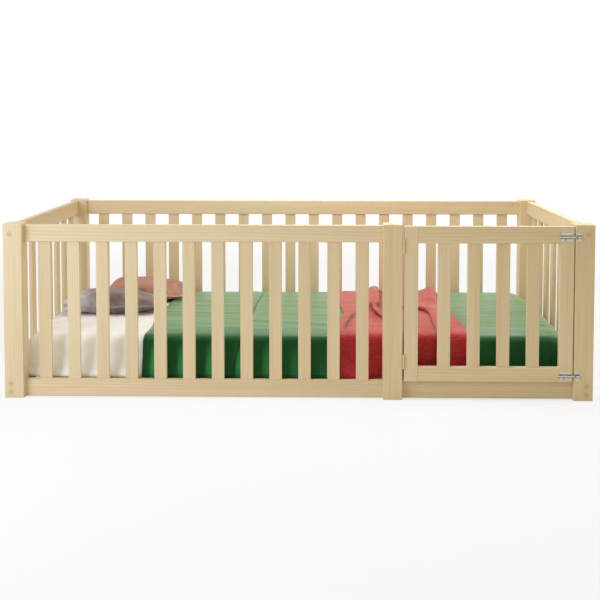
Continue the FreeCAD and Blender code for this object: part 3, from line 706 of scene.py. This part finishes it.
MATTRESS_SHRINK = 0.005
MATTRESS_CELL = 0.014
MATTRESS_PRESSURE = 3
MATTRESS_FRAMES = 14
EDGE_SEGMENTS = 5
SKIRT_HEIGHT = (0.006, 0.035)
SKIRT_REACH = 0.03
HEAD_REACH = 0.006
HEAD_SPAN = (0.85, 0.98)
SHEET_CRINKLE = 0.0014
CRINKLE_COUNTS = (4, 22)
CRINKLE_DEPTH = 0.03
BASE_GAP = 0.0003
SIDE_DROP = (MATTRESS_EDGE * 0.3, MATTRESS_EDGE * 1.3)


def mattress_blank():
    """A box rounded along its upper edges and foot corners, swollen and smoothed."""
    begin_piece()
    sink = Vector((0, 0, MATTRESS_SINK))
    shrink = Vector((2, 2, 1)) * MATTRESS_SHRINK
    size = mattress_high - mattress_low - shrink - sink
    centre = (mattress_low + mattress_high) / 2 - Vector((0, 0, (MATTRESS_SINK + MATTRESS_SHRINK) / 2))
    bpy.ops.mesh.primitive_cube_add(size=1, location=centre, scale=size)
    mattress = bpy.context.object
    mattress.name = "fitted_mattress"
    bpy.ops.object.transform_apply(location=True, rotation=True, scale=True)

    def rounded(a, b):
        upper = min(a.z, b.z) > centre.z
        foot_corner = min(a.x, b.x) > 0 and max(a.z, b.z) > centre.z
        return upper or foot_corner

    select_edges(mattress, rounded)
    bpy.ops.object.mode_set(mode="EDIT")
    bpy.ops.mesh.bevel(offset=MATTRESS_EDGE, segments=EDGE_SEGMENTS, affect="EDGES")
    bpy.ops.object.mode_set(mode="OBJECT")
    apply_modifier(mattress, "REMESH", mode="VOXEL", voxel_size=MATTRESS_CELL)
    swell(mattress, MATTRESS_PRESSURE, MATTRESS_FRAMES, MATTRESS_SHRINK)
    apply_modifier(mattress, "SMOOTH", factor=0.5, iterations=4)
    apply_modifier(mattress, "SUBSURF", levels=1, render_levels=1)
    return mattress


def crown_top(spots):
    """Raises the middle of the mattress and rounds its top down at the foot and the head."""
    middle_share = 1 - np.clip(np.abs(spots[:, Y] - bed_middle) / flat_half, 0, 1) ** 2
    spots[:, Z] += MATTRESS_CROWN * middle_share * rising(mattress_low.z, mattress_top, spots[:, Z])
    past_foot = np.clip(spots[:, X] - (half_length - FOOT_EDGE), 0, FOOT_EDGE)
    past_head = np.clip(-spots[:, X] - (half_length - HEAD_EDGE), 0, HEAD_EDGE)
    fall = FOOT_EDGE - np.sqrt(FOOT_EDGE ** 2 - past_foot ** 2)
    fall = fall + HEAD_EDGE - np.sqrt(HEAD_EDGE ** 2 - past_head ** 2)
    spots[:, Z] = np.minimum(spots[:, Z], mattress_top + MATTRESS_CROWN * middle_share - fall)


def square_skirt(spots):
    """Brings the bottom of the mattress out to its full size, and its head end out to its reach."""
    low = falling(*SKIRT_HEIGHT, spots[:, Z] - mattress_low.z)
    for axis, middle, half in ((Y, bed_middle, half_width), (X, 0, half_length)):
        off = spots[:, axis] - middle
        gap = half - np.abs(off)
        spots[:, axis] += np.sign(off) * low * np.clip(gap, 0, None) * (gap < SKIRT_REACH)
    half_up = np.abs(spots[:, Z] - (mattress_low.z + mattress_top) / 2) < MATTRESS_CELL
    short = half_length + HEAD_REACH + spots[half_up, X].min()
    spots[:, X] -= (HEAD_REACH * low + short * (1 - low)) * rising(*HEAD_SPAN, -spots[:, X])


def make_mattress():
    """The mattress in its fitted sheet, one padded piece."""
    mattress = mattress_blank()
    spots = points_of(mattress)
    crown_top(spots)
    square_skirt(spots)
    spots[:, Y] -= flare(spots)
    on_top = rising(mattress_top - CRINKLE_DEPTH, mattress_top, spots[:, Z])
    crinkle = wander(spots[:, X], spots[:, Y], CRINKLE_COUNTS, seed=11) * on_top
    spots[:, Z] += SHEET_CRINKLE * (crinkle - 0.5)
    spots[:, Z] = np.maximum(spots[:, Z], mattress_low.z + BASE_GAP)
    set_points(mattress, spots)
    # How far below the top edge each point lies, for the painted light on the sides
    mark(mattress, "side", rising(*SIDE_DROP, mattress_top - spots[:, Z]))
    smooth_faces(mattress)
    dress(mattress, sheet_jersey())
    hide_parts("mattress")
    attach(mattress, "frame")


# Green bed cover

COVER_CELL = 0.007
COVER_SEAM = -0.197

# Its head edge
HEAD_OUT = 0.006
HEAD_TOP_STEP = 0.016
HEAD_TOP = (0.36, 0.46)
HEAD_REAR_STEP = 0.024
HEAD_REAR = (-0.40, 0.10)
HEAD_WAVE = 0.005
HEAD_WAVE_COUNTS = (6, 0)

# Where its front lies close, beside posts
CLOSE_FRONT = (-0.01, 0.03)
GATE_POST_STARTS = (0.26, 0.30)
GATE_POST_ENDS = (0.39, 0.44)
CORNER_POST_STARTS = (0.92, 0.97)

# Upright folds where it hangs; the rise and fall of crests and of the painted highlight bands are in turns of
# the pitch
FOLD_PITCH = 0.1035
FOLD_CREST = -0.5145
FOLD_DEPTH = 0.013
FOLD_DRIFT = 0.010
FOLD_DRIFT_COUNTS = (4, 0.5)
FOLD_HANG = (0.03, 0.10)
FOLD_FOOT_SHARE = 0.30
FOLD_FADE = (-0.35, 0.30)
CREST_RISE = (-0.32, 0)
CREST_FALL = (0, 0.36)
LIT_BAND_RISE = (-0.36, -0.24)
LIT_BAND_FALL = (0, 0.20)
LIT_BAND_ALONG = (-0.20, 0.20)
LIT_BAND_ACROSS = (0.12, 0.19)

# Long wrinkles on its top
TOP_EDGE = (-0.06, 0.02)
WRINKLE_SLANT = 0.10
WRINKLE_BEND = 0.04
WRINKLE_BEND_COUNTS = (2.3, 2.0)
REAR_WRINKLE_SHARE = 0.45
WRINKLE_FRONT = (-0.10, 0.36)
FINE_WRINKLE = 0.0026
FINE_COUNTS = (3.1, 27)
BROAD_WRINKLE = 0.0022
BROAD_COUNTS = (1.7, 10)
COVER_SWELL = 0.0030
SWELL_COUNTS = (1.9, 2.4)
SEAM_STEP = 0.005
SEAM_RISE = (-0.16, -0.01)
SEAM_FALL = (-0.004, 0.004)
UNDER_THROW_STARTS = (0.12, 0.17)
UNDER_THROW_ENDS = (0.61, 0.66)
PRESSED_SHARE = 0.7


def head_edge(across):
    """Where the cover's head edge lies along the bed."""
    top_step = HEAD_TOP_STEP * falling(*HEAD_TOP, across)
    rear_step = HEAD_REAR_STEP * falling(*HEAD_REAR, across)
    wave = HEAD_WAVE * wander(across, 0, HEAD_WAVE_COUNTS, seed=5)
    return cover_low.x - HEAD_OUT + top_step + rear_step + wave


def clear_of_posts(along, across):
    """1 where bedding may stand off the mattress, 0 on its front beside the gate post and the corner post."""
    front = rising(*CLOSE_FRONT, across - flat_half)
    gate_post = rising(*GATE_POST_STARTS, along) * falling(*GATE_POST_ENDS, along)
    corner_post = rising(*CORNER_POST_STARTS, along)
    return 1 - front * np.maximum(gate_post, corner_post)


def fold_phase(along, across):
    """Place between two upright folds of the cover, 0 on a crest and up to a half away from it."""
    drift = FOLD_DRIFT * wander(along, across, FOLD_DRIFT_COUNTS, seed=6)
    turns = (along - FOLD_CREST + drift) / FOLD_PITCH
    return turns - np.round(turns)


def fold_strength(along, across):
    """Full folds where the cover hangs near its head edge, slighter ones towards the foot."""
    hanging = rising(*FOLD_HANG, np.abs(across) - flat_half)
    return hanging * (FOLD_FOOT_SHARE + (1 - FOLD_FOOT_SHARE) * falling(*FOLD_FADE, along))


def top_stand(along, across):
    """How far the cover's top stands off the mattress: long wrinkles, slow swells and a lap at the seam."""
    bend = WRINKLE_BEND * wander(along, across, WRINKLE_BEND_COUNTS, seed=1)
    slanted = across - WRINKLE_SLANT * along + bend
    near_front = REAR_WRINKLE_SHARE + (1 - REAR_WRINKLE_SHARE) * rising(*WRINKLE_FRONT, across)
    fine = FINE_WRINKLE * near_front * wander(along, slanted, FINE_COUNTS, seed=2)
    broad = BROAD_WRINKLE * wander(along, slanted, BROAD_COUNTS, seed=3)
    swell_up = COVER_SWELL * (1 + wander(along, across, SWELL_COUNTS, seed=4))
    past_seam = along - COVER_SEAM
    overlap = SEAM_STEP * rising(*SEAM_RISE, past_seam) * falling(*SEAM_FALL, past_seam)
    return FINE_WRINKLE + BROAD_WRINKLE / 2 + fine + broad + swell_up + overlap


def cover_stand(along, across):
    """How far the cover stands off the mattress: wrinkles on top, upright folds where it hangs."""
    on_top = falling(*TOP_EDGE, np.abs(across) - flat_half)
    from_crest = fold_phase(along, across)
    crest = rising(*CREST_RISE, from_crest) * falling(*CREST_FALL, from_crest)
    hung_stand = FOLD_DEPTH * fold_strength(along, across) * crest
    stand = on_top * top_stand(along, across) + (1 - on_top) * hung_stand
    under_throw = rising(*UNDER_THROW_STARTS, along) * falling(*UNDER_THROW_ENDS, along)
    return np.maximum(stand, 0) * clear_of_posts(along, across) * (1 - PRESSED_SHARE * under_throw)


def lit_bands(along, across):
    """1 on the painted highlight bands beside the upright folds, which fade towards the foot and the hem."""
    phase = fold_phase(along, across)
    beside = rising(*LIT_BAND_RISE, phase) * falling(*LIT_BAND_FALL, phase) * fold_strength(along, across)
    return beside * falling(*LIT_BAND_ALONG, along) * falling(*LIT_BAND_ACROSS, np.abs(across) - flat_half)


def make_cover():
    """The green cover, draped over the mattress and its foot."""
    half_across = drop_to(HEM_HEIGHT, cover_lift)
    foot = half_length - FOOT_EDGE + half_across - flat_half
    size = (foot - cover_low.x, 2 * half_across)
    cover = cloth_grid("green_cover", size, COVER_CELL)
    flat = points_of(cover)
    across = -flat[:, Y] * size[1]
    share = flat[:, X] + 0.5
    along = head_edge(across) * (1 - share) + foot * share
    spots, normals = drape(along, across, cover_lift)
    spots = spots + normals * cover_stand(along, across)[:, None]
    spots[:, Y] -= flare(spots)
    set_points(cover, spots)
    # The painted highlight bands beside the upright folds
    mark(cover, "lit_band", lit_bands(along, across))
    # How far the cover has turned down from the top, for the painted shade where it hangs
    mark(cover, "hung_shade", 1 - normals[:, Z])
    apply_modifier(cover, "SOLIDIFY", thickness=COVER_THICKNESS, offset=0)
    smooth_faces(cover)
    dress(cover, cover_cotton(size, COVER_SEAM - cover_low.x))
    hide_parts("bed_cover")
    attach(cover, "frame")


# Red throw, with folds that lie along curves: each has its line over the bed, strength and section

# A section's rows are a place on the flat cloth, where it moves to, and its height
THROW_CELL = 0.005
ROLL = ((-0.066, -0.066, 0), (-0.045, -0.040, 0.005), (-0.024, -0.017, 0.023), (-0.008, -0.001, 0.039),
        (0.004, 0.014, 0.044), (0.014, 0.026, 0.038), (0.023, 0.028, 0.025), (0.032, 0.022, 0.010),
        (0.041, 0.025, 0.001), (0.055, 0.050, 0), (0.075, 0.075, 0))
LIP = ((-0.030, -0.030, 0), (0.000, 0.007, 0), (0.006, 0.010, 0.003), (0.012, 0.003, 0.0065),
       (0.018, -0.007, 0.0075), (0.024, -0.012, 0.0110), (0.030, -0.009, 0.0150), (0.040, 0.001, 0.0170),
       (0.060, 0.028, 0.0150), (0.100, 0.086, 0.0060), (0.140, 0.140, 0))
CREASE = ((-0.035, -0.035, 0), (-0.014, -0.012, 0.0020), (0.0, 0.003, 0.0085), (0.008, 0.007, 0.0015),
          (0.025, 0.025, 0))
MAIN_ROLL = ((0.330, -0.56), (0.326, -0.44), (0.314, -0.30), (0.306, -0.15), (0.302, 0.00), (0.312, 0.13),
             (0.332, 0.25), (0.350, 0.36))
MAIN_ROLL_STRENGTH = (0, 0.40, 0.85, 1, 0.85, 0.50, 0.22, 0)
SIDE_ROLL = ((0.592, -0.54), (0.584, -0.44), (0.570, -0.30), (0.556, -0.18), (0.545, -0.06))
SIDE_ROLL_STRENGTH = (0, 0.42, 0.55, 0.35, 0)
FRONT_LIP = ((0.345, 0.020), (0.400, 0.034), (0.450, 0.040), (0.489, 0.052), (0.518, 0.085), (0.529, 0.140),
             (0.529, 0.200), (0.521, 0.290), (0.515, 0.370), (0.510, 0.450), (0.507, 0.600))
FRONT_LIP_STRENGTH = (0, 0.5, 0.9, 1, 1, 0.95, 0.9, 0.75, 0.55, 0.4, 0.25)
SMALL_LIP = ((0.270, 0.030), (0.290, 0.070), (0.303, 0.110), (0.314, 0.180), (0.328, 0.250),
             (0.345, 0.310))
SMALL_LIP_STRENGTH = (0, 0.7, 1, 1, 0.6, 0)
LEFT_CREASE = ((0.225, 0.100), (0.213, 0.136), (0.195, 0.220), (0.178, 0.310), (0.170, 0.370),
               (0.166, 0.430))
LEFT_CREASE_STRENGTH = (0, 0.7, 1, 1, 0.7, 0)
# Where each section's hollow lies, which gets painted shade
ROLL_HOLLOW = 0.040
LIP_HOLLOW = -0.002
CREASE_HOLLOW = 0.010
HOLLOW_WIDTH = 0.009
THROW_FOLDS = (
    (MAIN_ROLL, MAIN_ROLL_STRENGTH, ROLL, ROLL_HOLLOW),
    (SIDE_ROLL, SIDE_ROLL_STRENGTH, ROLL, ROLL_HOLLOW),
    (FRONT_LIP, FRONT_LIP_STRENGTH, LIP, LIP_HOLLOW),
    (SMALL_LIP, SMALL_LIP_STRENGTH, LIP, LIP_HOLLOW),
    (LEFT_CREASE, LEFT_CREASE_STRENGTH, CREASE, CREASE_HOLLOW),
)
FOLD_END = (0.008, 0.02)
LINE_ROWS = 120
SECTION_ROWS = 160

# Its left and right edges
LEFT_IN = 0.008
LEFT_WAVE = 0.006
LEFT_WAVE_COUNTS = (6, 0)
NOTCH = 0.018
NOTCH_RISE = (-0.14, 0.06)
NOTCH_FALL = (0.12, 0.27)
RIGHT_IN = 0.006
RIGHT_SPREAD = 0.022
RIGHT_SPREAD_SPAN = (-0.10, 0.46)
RIGHT_WAVE = 0.003
RIGHT_WAVE_COUNTS = (5, 0)

# Soft unevenness all over, and long ripples on top
THROW_SOFT = 0.0010
THROW_SOFT_COUNTS = (9, 14)
THROW_RIPPLE = 0.0014
THROW_RIPPLE_COUNTS = (3, 26)


def smooth_rows(rows, count):
    """A finer table through the given rows, rounded as a thin spline would be."""
    rows = np.asarray(rows, float)
    padded = np.vstack([2 * rows[0] - rows[1], rows, 2 * rows[-1] - rows[-2]])
    place = np.linspace(0, len(rows) - 1, count)
    first = np.minimum(place.astype(int), len(rows) - 2)
    t = (place - first)[:, None]
    a, b, c, d = (padded[first + step] for step in range(4))
    return b + 0.5 * t * (c - a + t * (2 * a - 5 * b + 4 * c - d + t * (3 * (b - c) + d - a)))


def fold_cloth(flat, line, strength, section, hollow):
    """Moves flat places over one fold; gives the new places, their heights and how far each lies in the
    hollow, for painted shade.
    """
    table = smooth_rows([(*spot, share) for spot, share in zip(line, strength)], LINE_ROWS)
    track, share = table[:, :2], table[:, 2]
    ahead = np.gradient(track, axis=0)
    ahead /= np.linalg.norm(ahead, axis=1)[:, None]
    right = np.stack([ahead[:, 1], -ahead[:, 0]], axis=1)
    nearest = np.array([np.argmin(((track - spot) ** 2).sum(axis=1)) for spot in flat])
    off = ((flat - track[nearest]) * right[nearest]).sum(axis=1)
    beyond = np.abs(((flat - track[nearest]) * ahead[nearest]).sum(axis=1))
    power = np.clip(share[nearest], 0, 1) * falling(*FOLD_END, beyond)
    start, end, rise = smooth_rows(section, SECTION_ROWS).T
    moved = np.interp(off, start, end, left=0, right=0)
    inside = (off > start[0]) & (off < start[-1])
    shift = np.where(inside, (moved - off) * power, 0)
    height = np.interp(off, start, rise, left=0, right=0) * power
    in_hollow = np.exp(-((off - hollow) / HOLLOW_WIDTH) ** 2) * power
    return flat + right[nearest] * shift[:, None], np.maximum(height, 0), in_hollow


def throw_edges(across):
    """Where the throw's left and right edges lie along the bed."""
    notch = NOTCH * rising(*NOTCH_RISE, across) * falling(*NOTCH_FALL, across)
    left_wave = LEFT_WAVE * (1 + wander(across, 0, LEFT_WAVE_COUNTS, seed=6))
    spread = RIGHT_SPREAD * rising(*RIGHT_SPREAD_SPAN, across)
    right_wave = RIGHT_WAVE * wander(across, 0, RIGHT_WAVE_COUNTS, seed=7)
    return throw_low.x + LEFT_IN + left_wave + notch, throw_high.x - RIGHT_IN + spread + right_wave


def make_throw():
    """The red throw, folded and draped over the cover."""
    half_across = drop_to(HEM_HEIGHT, throw_lift)
    size = (throw_high.x - throw_low.x, 2 * half_across)
    throw = cloth_grid("red_throw", size, THROW_CELL)
    grid = points_of(throw)
    across = -grid[:, Y] * size[1]
    share = grid[:, X] + 0.5
    left, right = throw_edges(across)
    flat = np.stack([left * (1 - share) + right * share, across], axis=1)
    height = np.zeros(len(flat))
    hollow = np.zeros(len(flat))
    for fold in THROW_FOLDS:
        flat, rise, in_hollow = fold_cloth(flat, *fold)
        height = height + rise
        hollow = np.maximum(hollow, in_hollow)
    along, across = flat.T
    spots, normals = drape(along, across, throw_lift)
    on_top = np.abs(across) < flat_half
    soft = THROW_SOFT * (1 + wander(along, across, THROW_SOFT_COUNTS, seed=8))
    ripple = THROW_RIPPLE * (1 + wander(along, across, THROW_RIPPLE_COUNTS, seed=12)) * on_top
    stand = (height + soft + ripple) * clear_of_posts(along, across) + cover_stand(along, across)
    spots = spots + normals * stand[:, None]
    spots[:, Y] -= flare(spots)
    set_points(throw, spots)
    # How far each place lies in a fold's hollow, for the painted shade there
    mark(throw, "hollow", hollow)
    apply_modifier(throw, "SOLIDIFY", thickness=THROW_THICKNESS, offset=0)
    smooth_faces(throw)
    dress(throw, throw_knit())
    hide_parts("throw_blanket")
    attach(throw, "frame")


# Cushions, each two panels sewn at the edge and filled

# A form has its place, turn in degrees and height, the share of the height where its seam lies, how full
# and tapered it is, where and how deep a fold is pinched in, and how far its corners are pulled in
GREY_SIZE = (0.44, 0.24)
GREY_FORM = {"place": (-0.770, -0.018), "turn": 2, "height": 0.130, "seam": 0.20, "fullness": 0.9,
             "taper": 0.35, "pinch": (-0.27, 0.24), "corners": (0.25, 1.05)}
PINK_SIZE = (0.37, 0.33)
PINK_FORM = {"place": (-0.686, 0.276), "turn": 3, "height": 0.126, "seam": 0.18, "fullness": 1.0,
             "taper": 0.38, "pinch": (0.28, 0.30), "corners": (0.20, 0.20)}
CUSHION_CELL = 0.007
CUSHION_SEAM = 0.005
CUSHION_PRESSURE = 4
CUSHION_FRAMES = 15
CUSHION_CAP = 0.2
CUSHION_RISE = 0.58
CUSHION_BELLY = 0.42
FILLED_SHARE = 0.93
DENT_DEPTH = 0.10
DENT_ALONG = 3.1
DENT_ACROSS = 2.7
PINCH_BEND = 0.9
PINCH_MIDDLE = -0.15
PINCH_WIDTH = 0.045
OVER_COVER = 0.008
OVER_COVER_SPAN = (-0.615, -0.565)
REST_SOFTNESS = 0.004


def sewn_panels(name, size, corners):
    """Two panels sewn at the edge, with their corners pulled in, swollen by what fills them."""
    blank = cloth_grid(name, size, CUSHION_CELL)
    square = points_of(blank)
    pulled_in = np.sqrt(1 - 2 * np.array(corners) * square[:, [Y, X]] ** 2)
    square[:, :2] *= pulled_in * size
    set_points(blank, square)
    apply_modifier(blank, "SOLIDIFY", thickness=CUSHION_SEAM, offset=0)
    swell(blank, CUSHION_PRESSURE, CUSHION_FRAMES, CUSHION_CAP)
    return blank


def make_cushion(node, name, size, form, material):
    """A filled cushion laid at its place and turned, thinner at one end, with a fold pinched in."""
    fold, depth = form["pinch"]
    height = form["height"]
    blank = sewn_panels(name, size, form["corners"])
    spots = points_of(blank)
    spots = (spots - spots.min(0)) / np.ptp(spots, axis=0) - (0.5, 0.5, CUSHION_BELLY)
    reach = np.where(spots[:, Z] > 0, CUSHION_RISE, -CUSHION_BELLY)
    spots[:, Z] = reach * (spots[:, Z] / reach) ** form["fullness"]
    dent = wander(spots[:, X] * DENT_ALONG + spots[:, Z], spots[:, Y], (1, DENT_ACROSS), seed=9)
    spots[:, Z] *= (1 - form["taper"] * (spots[:, X] + 0.5)) * (1 + DENT_DEPTH * dent)
    off_fold = spots[:, X] - fold - PINCH_BEND * (spots[:, Y] - PINCH_MIDDLE) ** 2
    spots[:, Z] *= 1 - depth * np.exp(-(off_fold / PINCH_WIDTH) ** 2)
    spots *= (size[0] * FILLED_SHARE, size[1] * FILLED_SHARE, height)
    turned = math.radians(form["turn"])
    cosine, sine = math.cos(turned), math.sin(turned)
    spin = np.array([[cosine, -sine, 0], [sine, cosine, 0], [0, 0, 1]])
    rest = mattress_top + MATTRESS_CROWN + CLOTH_GAP
    spots = spots @ spin.T + (*form["place"], rest + height * form["seam"])
    under = rest + OVER_COVER * rising(*OVER_COVER_SPAN, spots[:, X])
    spots[:, Z] = under + REST_SOFTNESS * np.logaddexp(0, (spots[:, Z] - under) / REST_SOFTNESS)
    set_points(blank, spots)
    apply_modifier(blank, "SUBSURF", levels=1, render_levels=1)
    smooth_faces(blank)
    dress(blank, material)
    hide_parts(node)
    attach(blank, "frame")


# Finishes of the solids

GRAIN_X = ("front_top_rail", "front_bottom_rail", "gate_sill_rail", "rear_top_rail", "rear_bottom_rail",
           "gate_top_rail", "gate_bottom_rail")
LEFT_Y = ("left_top_rail", "left_bottom_rail")
RIGHT_Y = ("right_top_rail", "right_bottom_rail")
GRAIN_Z = ("front_left_post", "front_right_post", "rear_left_post", "rear_right_post", "gate_post",
           "front_slats", "rear_slats", "right_end_slats", "gate_hinge_stile", "gate_latch_stile",
           "gate_slats")
LEFT_Z = ("left_end_slats",)
BASE_X = ("front_left_ledger", "front_right_ledger", "rear_ledger", "centre_beam", "beam_feet")
BASE_Y = ("base_slats",)
DOWELS = ("frame_dowels", "gate_dowels")
ZINC = ("rail_bolts", "barrel_nuts", "ledger_screws", "base_slat_screws")
CAPS = ("bolt_caps",)
BRASS = ("upper_hinge_post_leaf", "upper_hinge_gate_leaf", "upper_hinge_pin", "lower_hinge_post_leaf",
         "lower_hinge_gate_leaf", "lower_hinge_pin", "hinge_post_screws", "hinge_gate_screws")
STEEL = ("upper_latch_plate", "upper_latch_bar", "upper_latch_knob", "upper_latch_keeper",
         "lower_latch_plate", "lower_latch_bar", "lower_latch_knob", "lower_latch_keeper",
         "latch_plate_screws", "keeper_screws")


def dress_solids():
    """Gives each solid its finish, with the wood's grain along its length."""
    finishes = (
        (GRAIN_X, pine("pine_along", X, PINE_EARLY, PINE_LATE)),
        # Left end rails: pine with painted shade
        (LEFT_Y, pine("shaded_pine_across", Y, SHADED_EARLY, SHADED_LATE)),
        # Right end rails: pine with painted light
        (RIGHT_Y, pine("lit_pine_across", Y, LIT_EARLY, LIT_LATE)),
        (GRAIN_Z, pine("pine_upright", Z, PINE_EARLY, PINE_LATE)),
        # Left end slats: pine with painted shade
        (LEFT_Z, pine("shaded_pine_upright", Z, SHADED_EARLY, SHADED_LATE)),
        (BASE_X, pine("base_pine_along", X, BASE_EARLY, BASE_LATE, ring=BASE_RING_WIDTH, coat=0)),
        (BASE_Y, pine("base_pine_across", Y, BASE_EARLY, BASE_LATE, ring=BASE_RING_WIDTH, coat=0)),
        (DOWELS, pine("dowel_wood", X, DOWEL_EARLY, DOWEL_LATE, ring=DOWEL_RING_WIDTH, coat=0)),
        (ZINC, zinc_plate()),
        (CAPS, cap_plastic()),
        (BRASS, hinge_brass()),
        (STEEL, brushed_steel()),
    )
    for nodes, material in finishes:
        for node in nodes:
            dress(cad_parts[node], material)


# Camera, light and floor

LENS = 58.27
SENSOR = 36
CAMERA_PLACE = (0.0792, -3.9982, 1.0442)
CAMERA_TILT = 86.91
CAMERA_TURN = 1.134
FRAME_SHIFT = -0.2258
WHITE = (1, 1, 1, 1)
FILL_COLOUR = (1.0, 0.900, 0.640, 1)
FILL_LEVEL = 0.49
FLOOR_COLOUR = (0.86, 0.86, 0.85, 1)
FLOOR_SIZE = 200
FLOOR_GLOW = 0.8
FLOOR_AWAY = (1.6, 4.5)
FLOOR_OUTSIDE = (-0.10, 0.01)

# Each lamp's name, place, aim, size, watts and colour
LAMPS = (
    ("key_lamp", (-2.1, -2.0, 1.5), (-0.6, -0.2, 0.3), 1.2, 40, (0.76, 0.82, 1.0)),
    ("inner_lamp", (0.15, -0.35, 1.9), (0.95, 0.35, 0.4), 0.8, 16, (1.0, 0.96, 0.90)),
    ("top_lamp", (1.05, 1.0, 2.4), (0.4, -0.1, 0.2), 1.8, 28, (0.97, 0.98, 1.0)),
)


def make_camera():
    """The photo's view, fitted to the posts, rails and slats."""
    turn = (math.radians(CAMERA_TILT), 0, math.radians(CAMERA_TURN))
    bpy.ops.object.camera_add(location=CAMERA_PLACE, rotation=turn)
    camera = bpy.context.object
    camera.data.lens = LENS
    camera.data.sensor_width = SENSOR
    camera.data.shift_y = FRAME_SHIFT
    bpy.context.scene.camera = camera


def add_lamp(name, place, aim, size, watts, colour):
    """A square soft lamp at a place, turned to its aim."""
    turn = (Vector(aim) - Vector(place)).to_track_quat("-Z", "Y").to_euler()
    bpy.ops.object.light_add(type="AREA", location=place, rotation=turn)
    lamp = bpy.context.object
    lamp.name = name
    lamp.data.size = size
    lamp.data.energy = watts
    lamp.data.color = colour


def seen(tree):
    """1 for what the camera, a mirror or glass shows, 0 for light on the object."""
    ray = Signal(tree)
    camera = ray.node("ShaderNodeLightPath", {}, {}, "Is Camera Ray")
    glossy = ray.node("ShaderNodeLightPath", {}, {}, "Is Glossy Ray")
    clear = ray.node("ShaderNodeLightPath", {}, {}, "Is Transmission Ray")
    return camera.greater(glossy.greater(clear))


def make_world():
    """White to look at, and a warm fill as light."""
    world = bpy.data.worlds.new("studio")
    world.use_nodes = True
    bpy.context.scene.world = world
    tree = world.node_tree
    shown = seen(tree)
    light = shown.node("ShaderNodeBackground", {}, {"Color": FILL_COLOUR, "Strength": FILL_LEVEL})
    white = shown.node("ShaderNodeBackground", {}, {"Color": WHITE, "Strength": 1})
    mixed = shown.node("ShaderNodeMixShader", {}, {0: shown, 1: light, 2: white})
    tree.links.new(mixed.socket, tree.nodes["World Output"].inputs["Surface"])


def make_floor():
    """A matt floor that turns white beyond the bed, where it's looked at."""
    begin_piece()
    bpy.ops.mesh.primitive_plane_add(size=FLOOR_SIZE)
    floor = bpy.context.object
    floor.name = "studio_floor"
    material = bpy.data.materials.new("studio_floor")
    material.use_nodes = True
    tree = material.node_tree
    shown = seen(tree)
    matt = shown.node("ShaderNodeBsdfDiffuse", {}, {"Color": FLOOR_COLOUR})
    glow = shown.node("ShaderNodeEmission", {}, {"Color": WHITE, "Strength": 1})
    place = shown.node("ShaderNodeTexCoord", {}, {}, "Object")
    away = place.node("ShaderNodeVectorMath", {"operation": "LENGTH"}, {0: place}, "Value")
    past_end = place.axis(X).distance(0) - cad_box[1][0]
    past_side = place.axis(Y).distance(0) - cad_box[1][1]
    outside = past_end.greater(past_side).step(*FLOOR_OUTSIDE)
    share = shown * outside * (FLOOR_GLOW + (1 - FLOOR_GLOW) * away.step(*FLOOR_AWAY))
    mixed = shown.node("ShaderNodeMixShader", {}, {0: share, 1: matt, 2: glow})
    tree.links.new(mixed.socket, tree.nodes["Material Output"].inputs["Surface"])
    dress(floor, material)


make_mattress()
make_cover()
make_throw()
make_cushion("grey_cushion", "grey_pillow", GREY_SIZE, GREY_FORM,
             material=cushion_velvet(GREY_SIZE))
make_cushion("pink_cushion", "pink_pillow", PINK_SIZE, PINK_FORM,
             material=cushion_linen(PINK_SIZE))
dress_solids()
make_floor()
make_world()
for lamp in LAMPS:
    add_lamp(*lamp)
make_camera()

bpy.context.scene.view_settings.view_transform = "Standard"
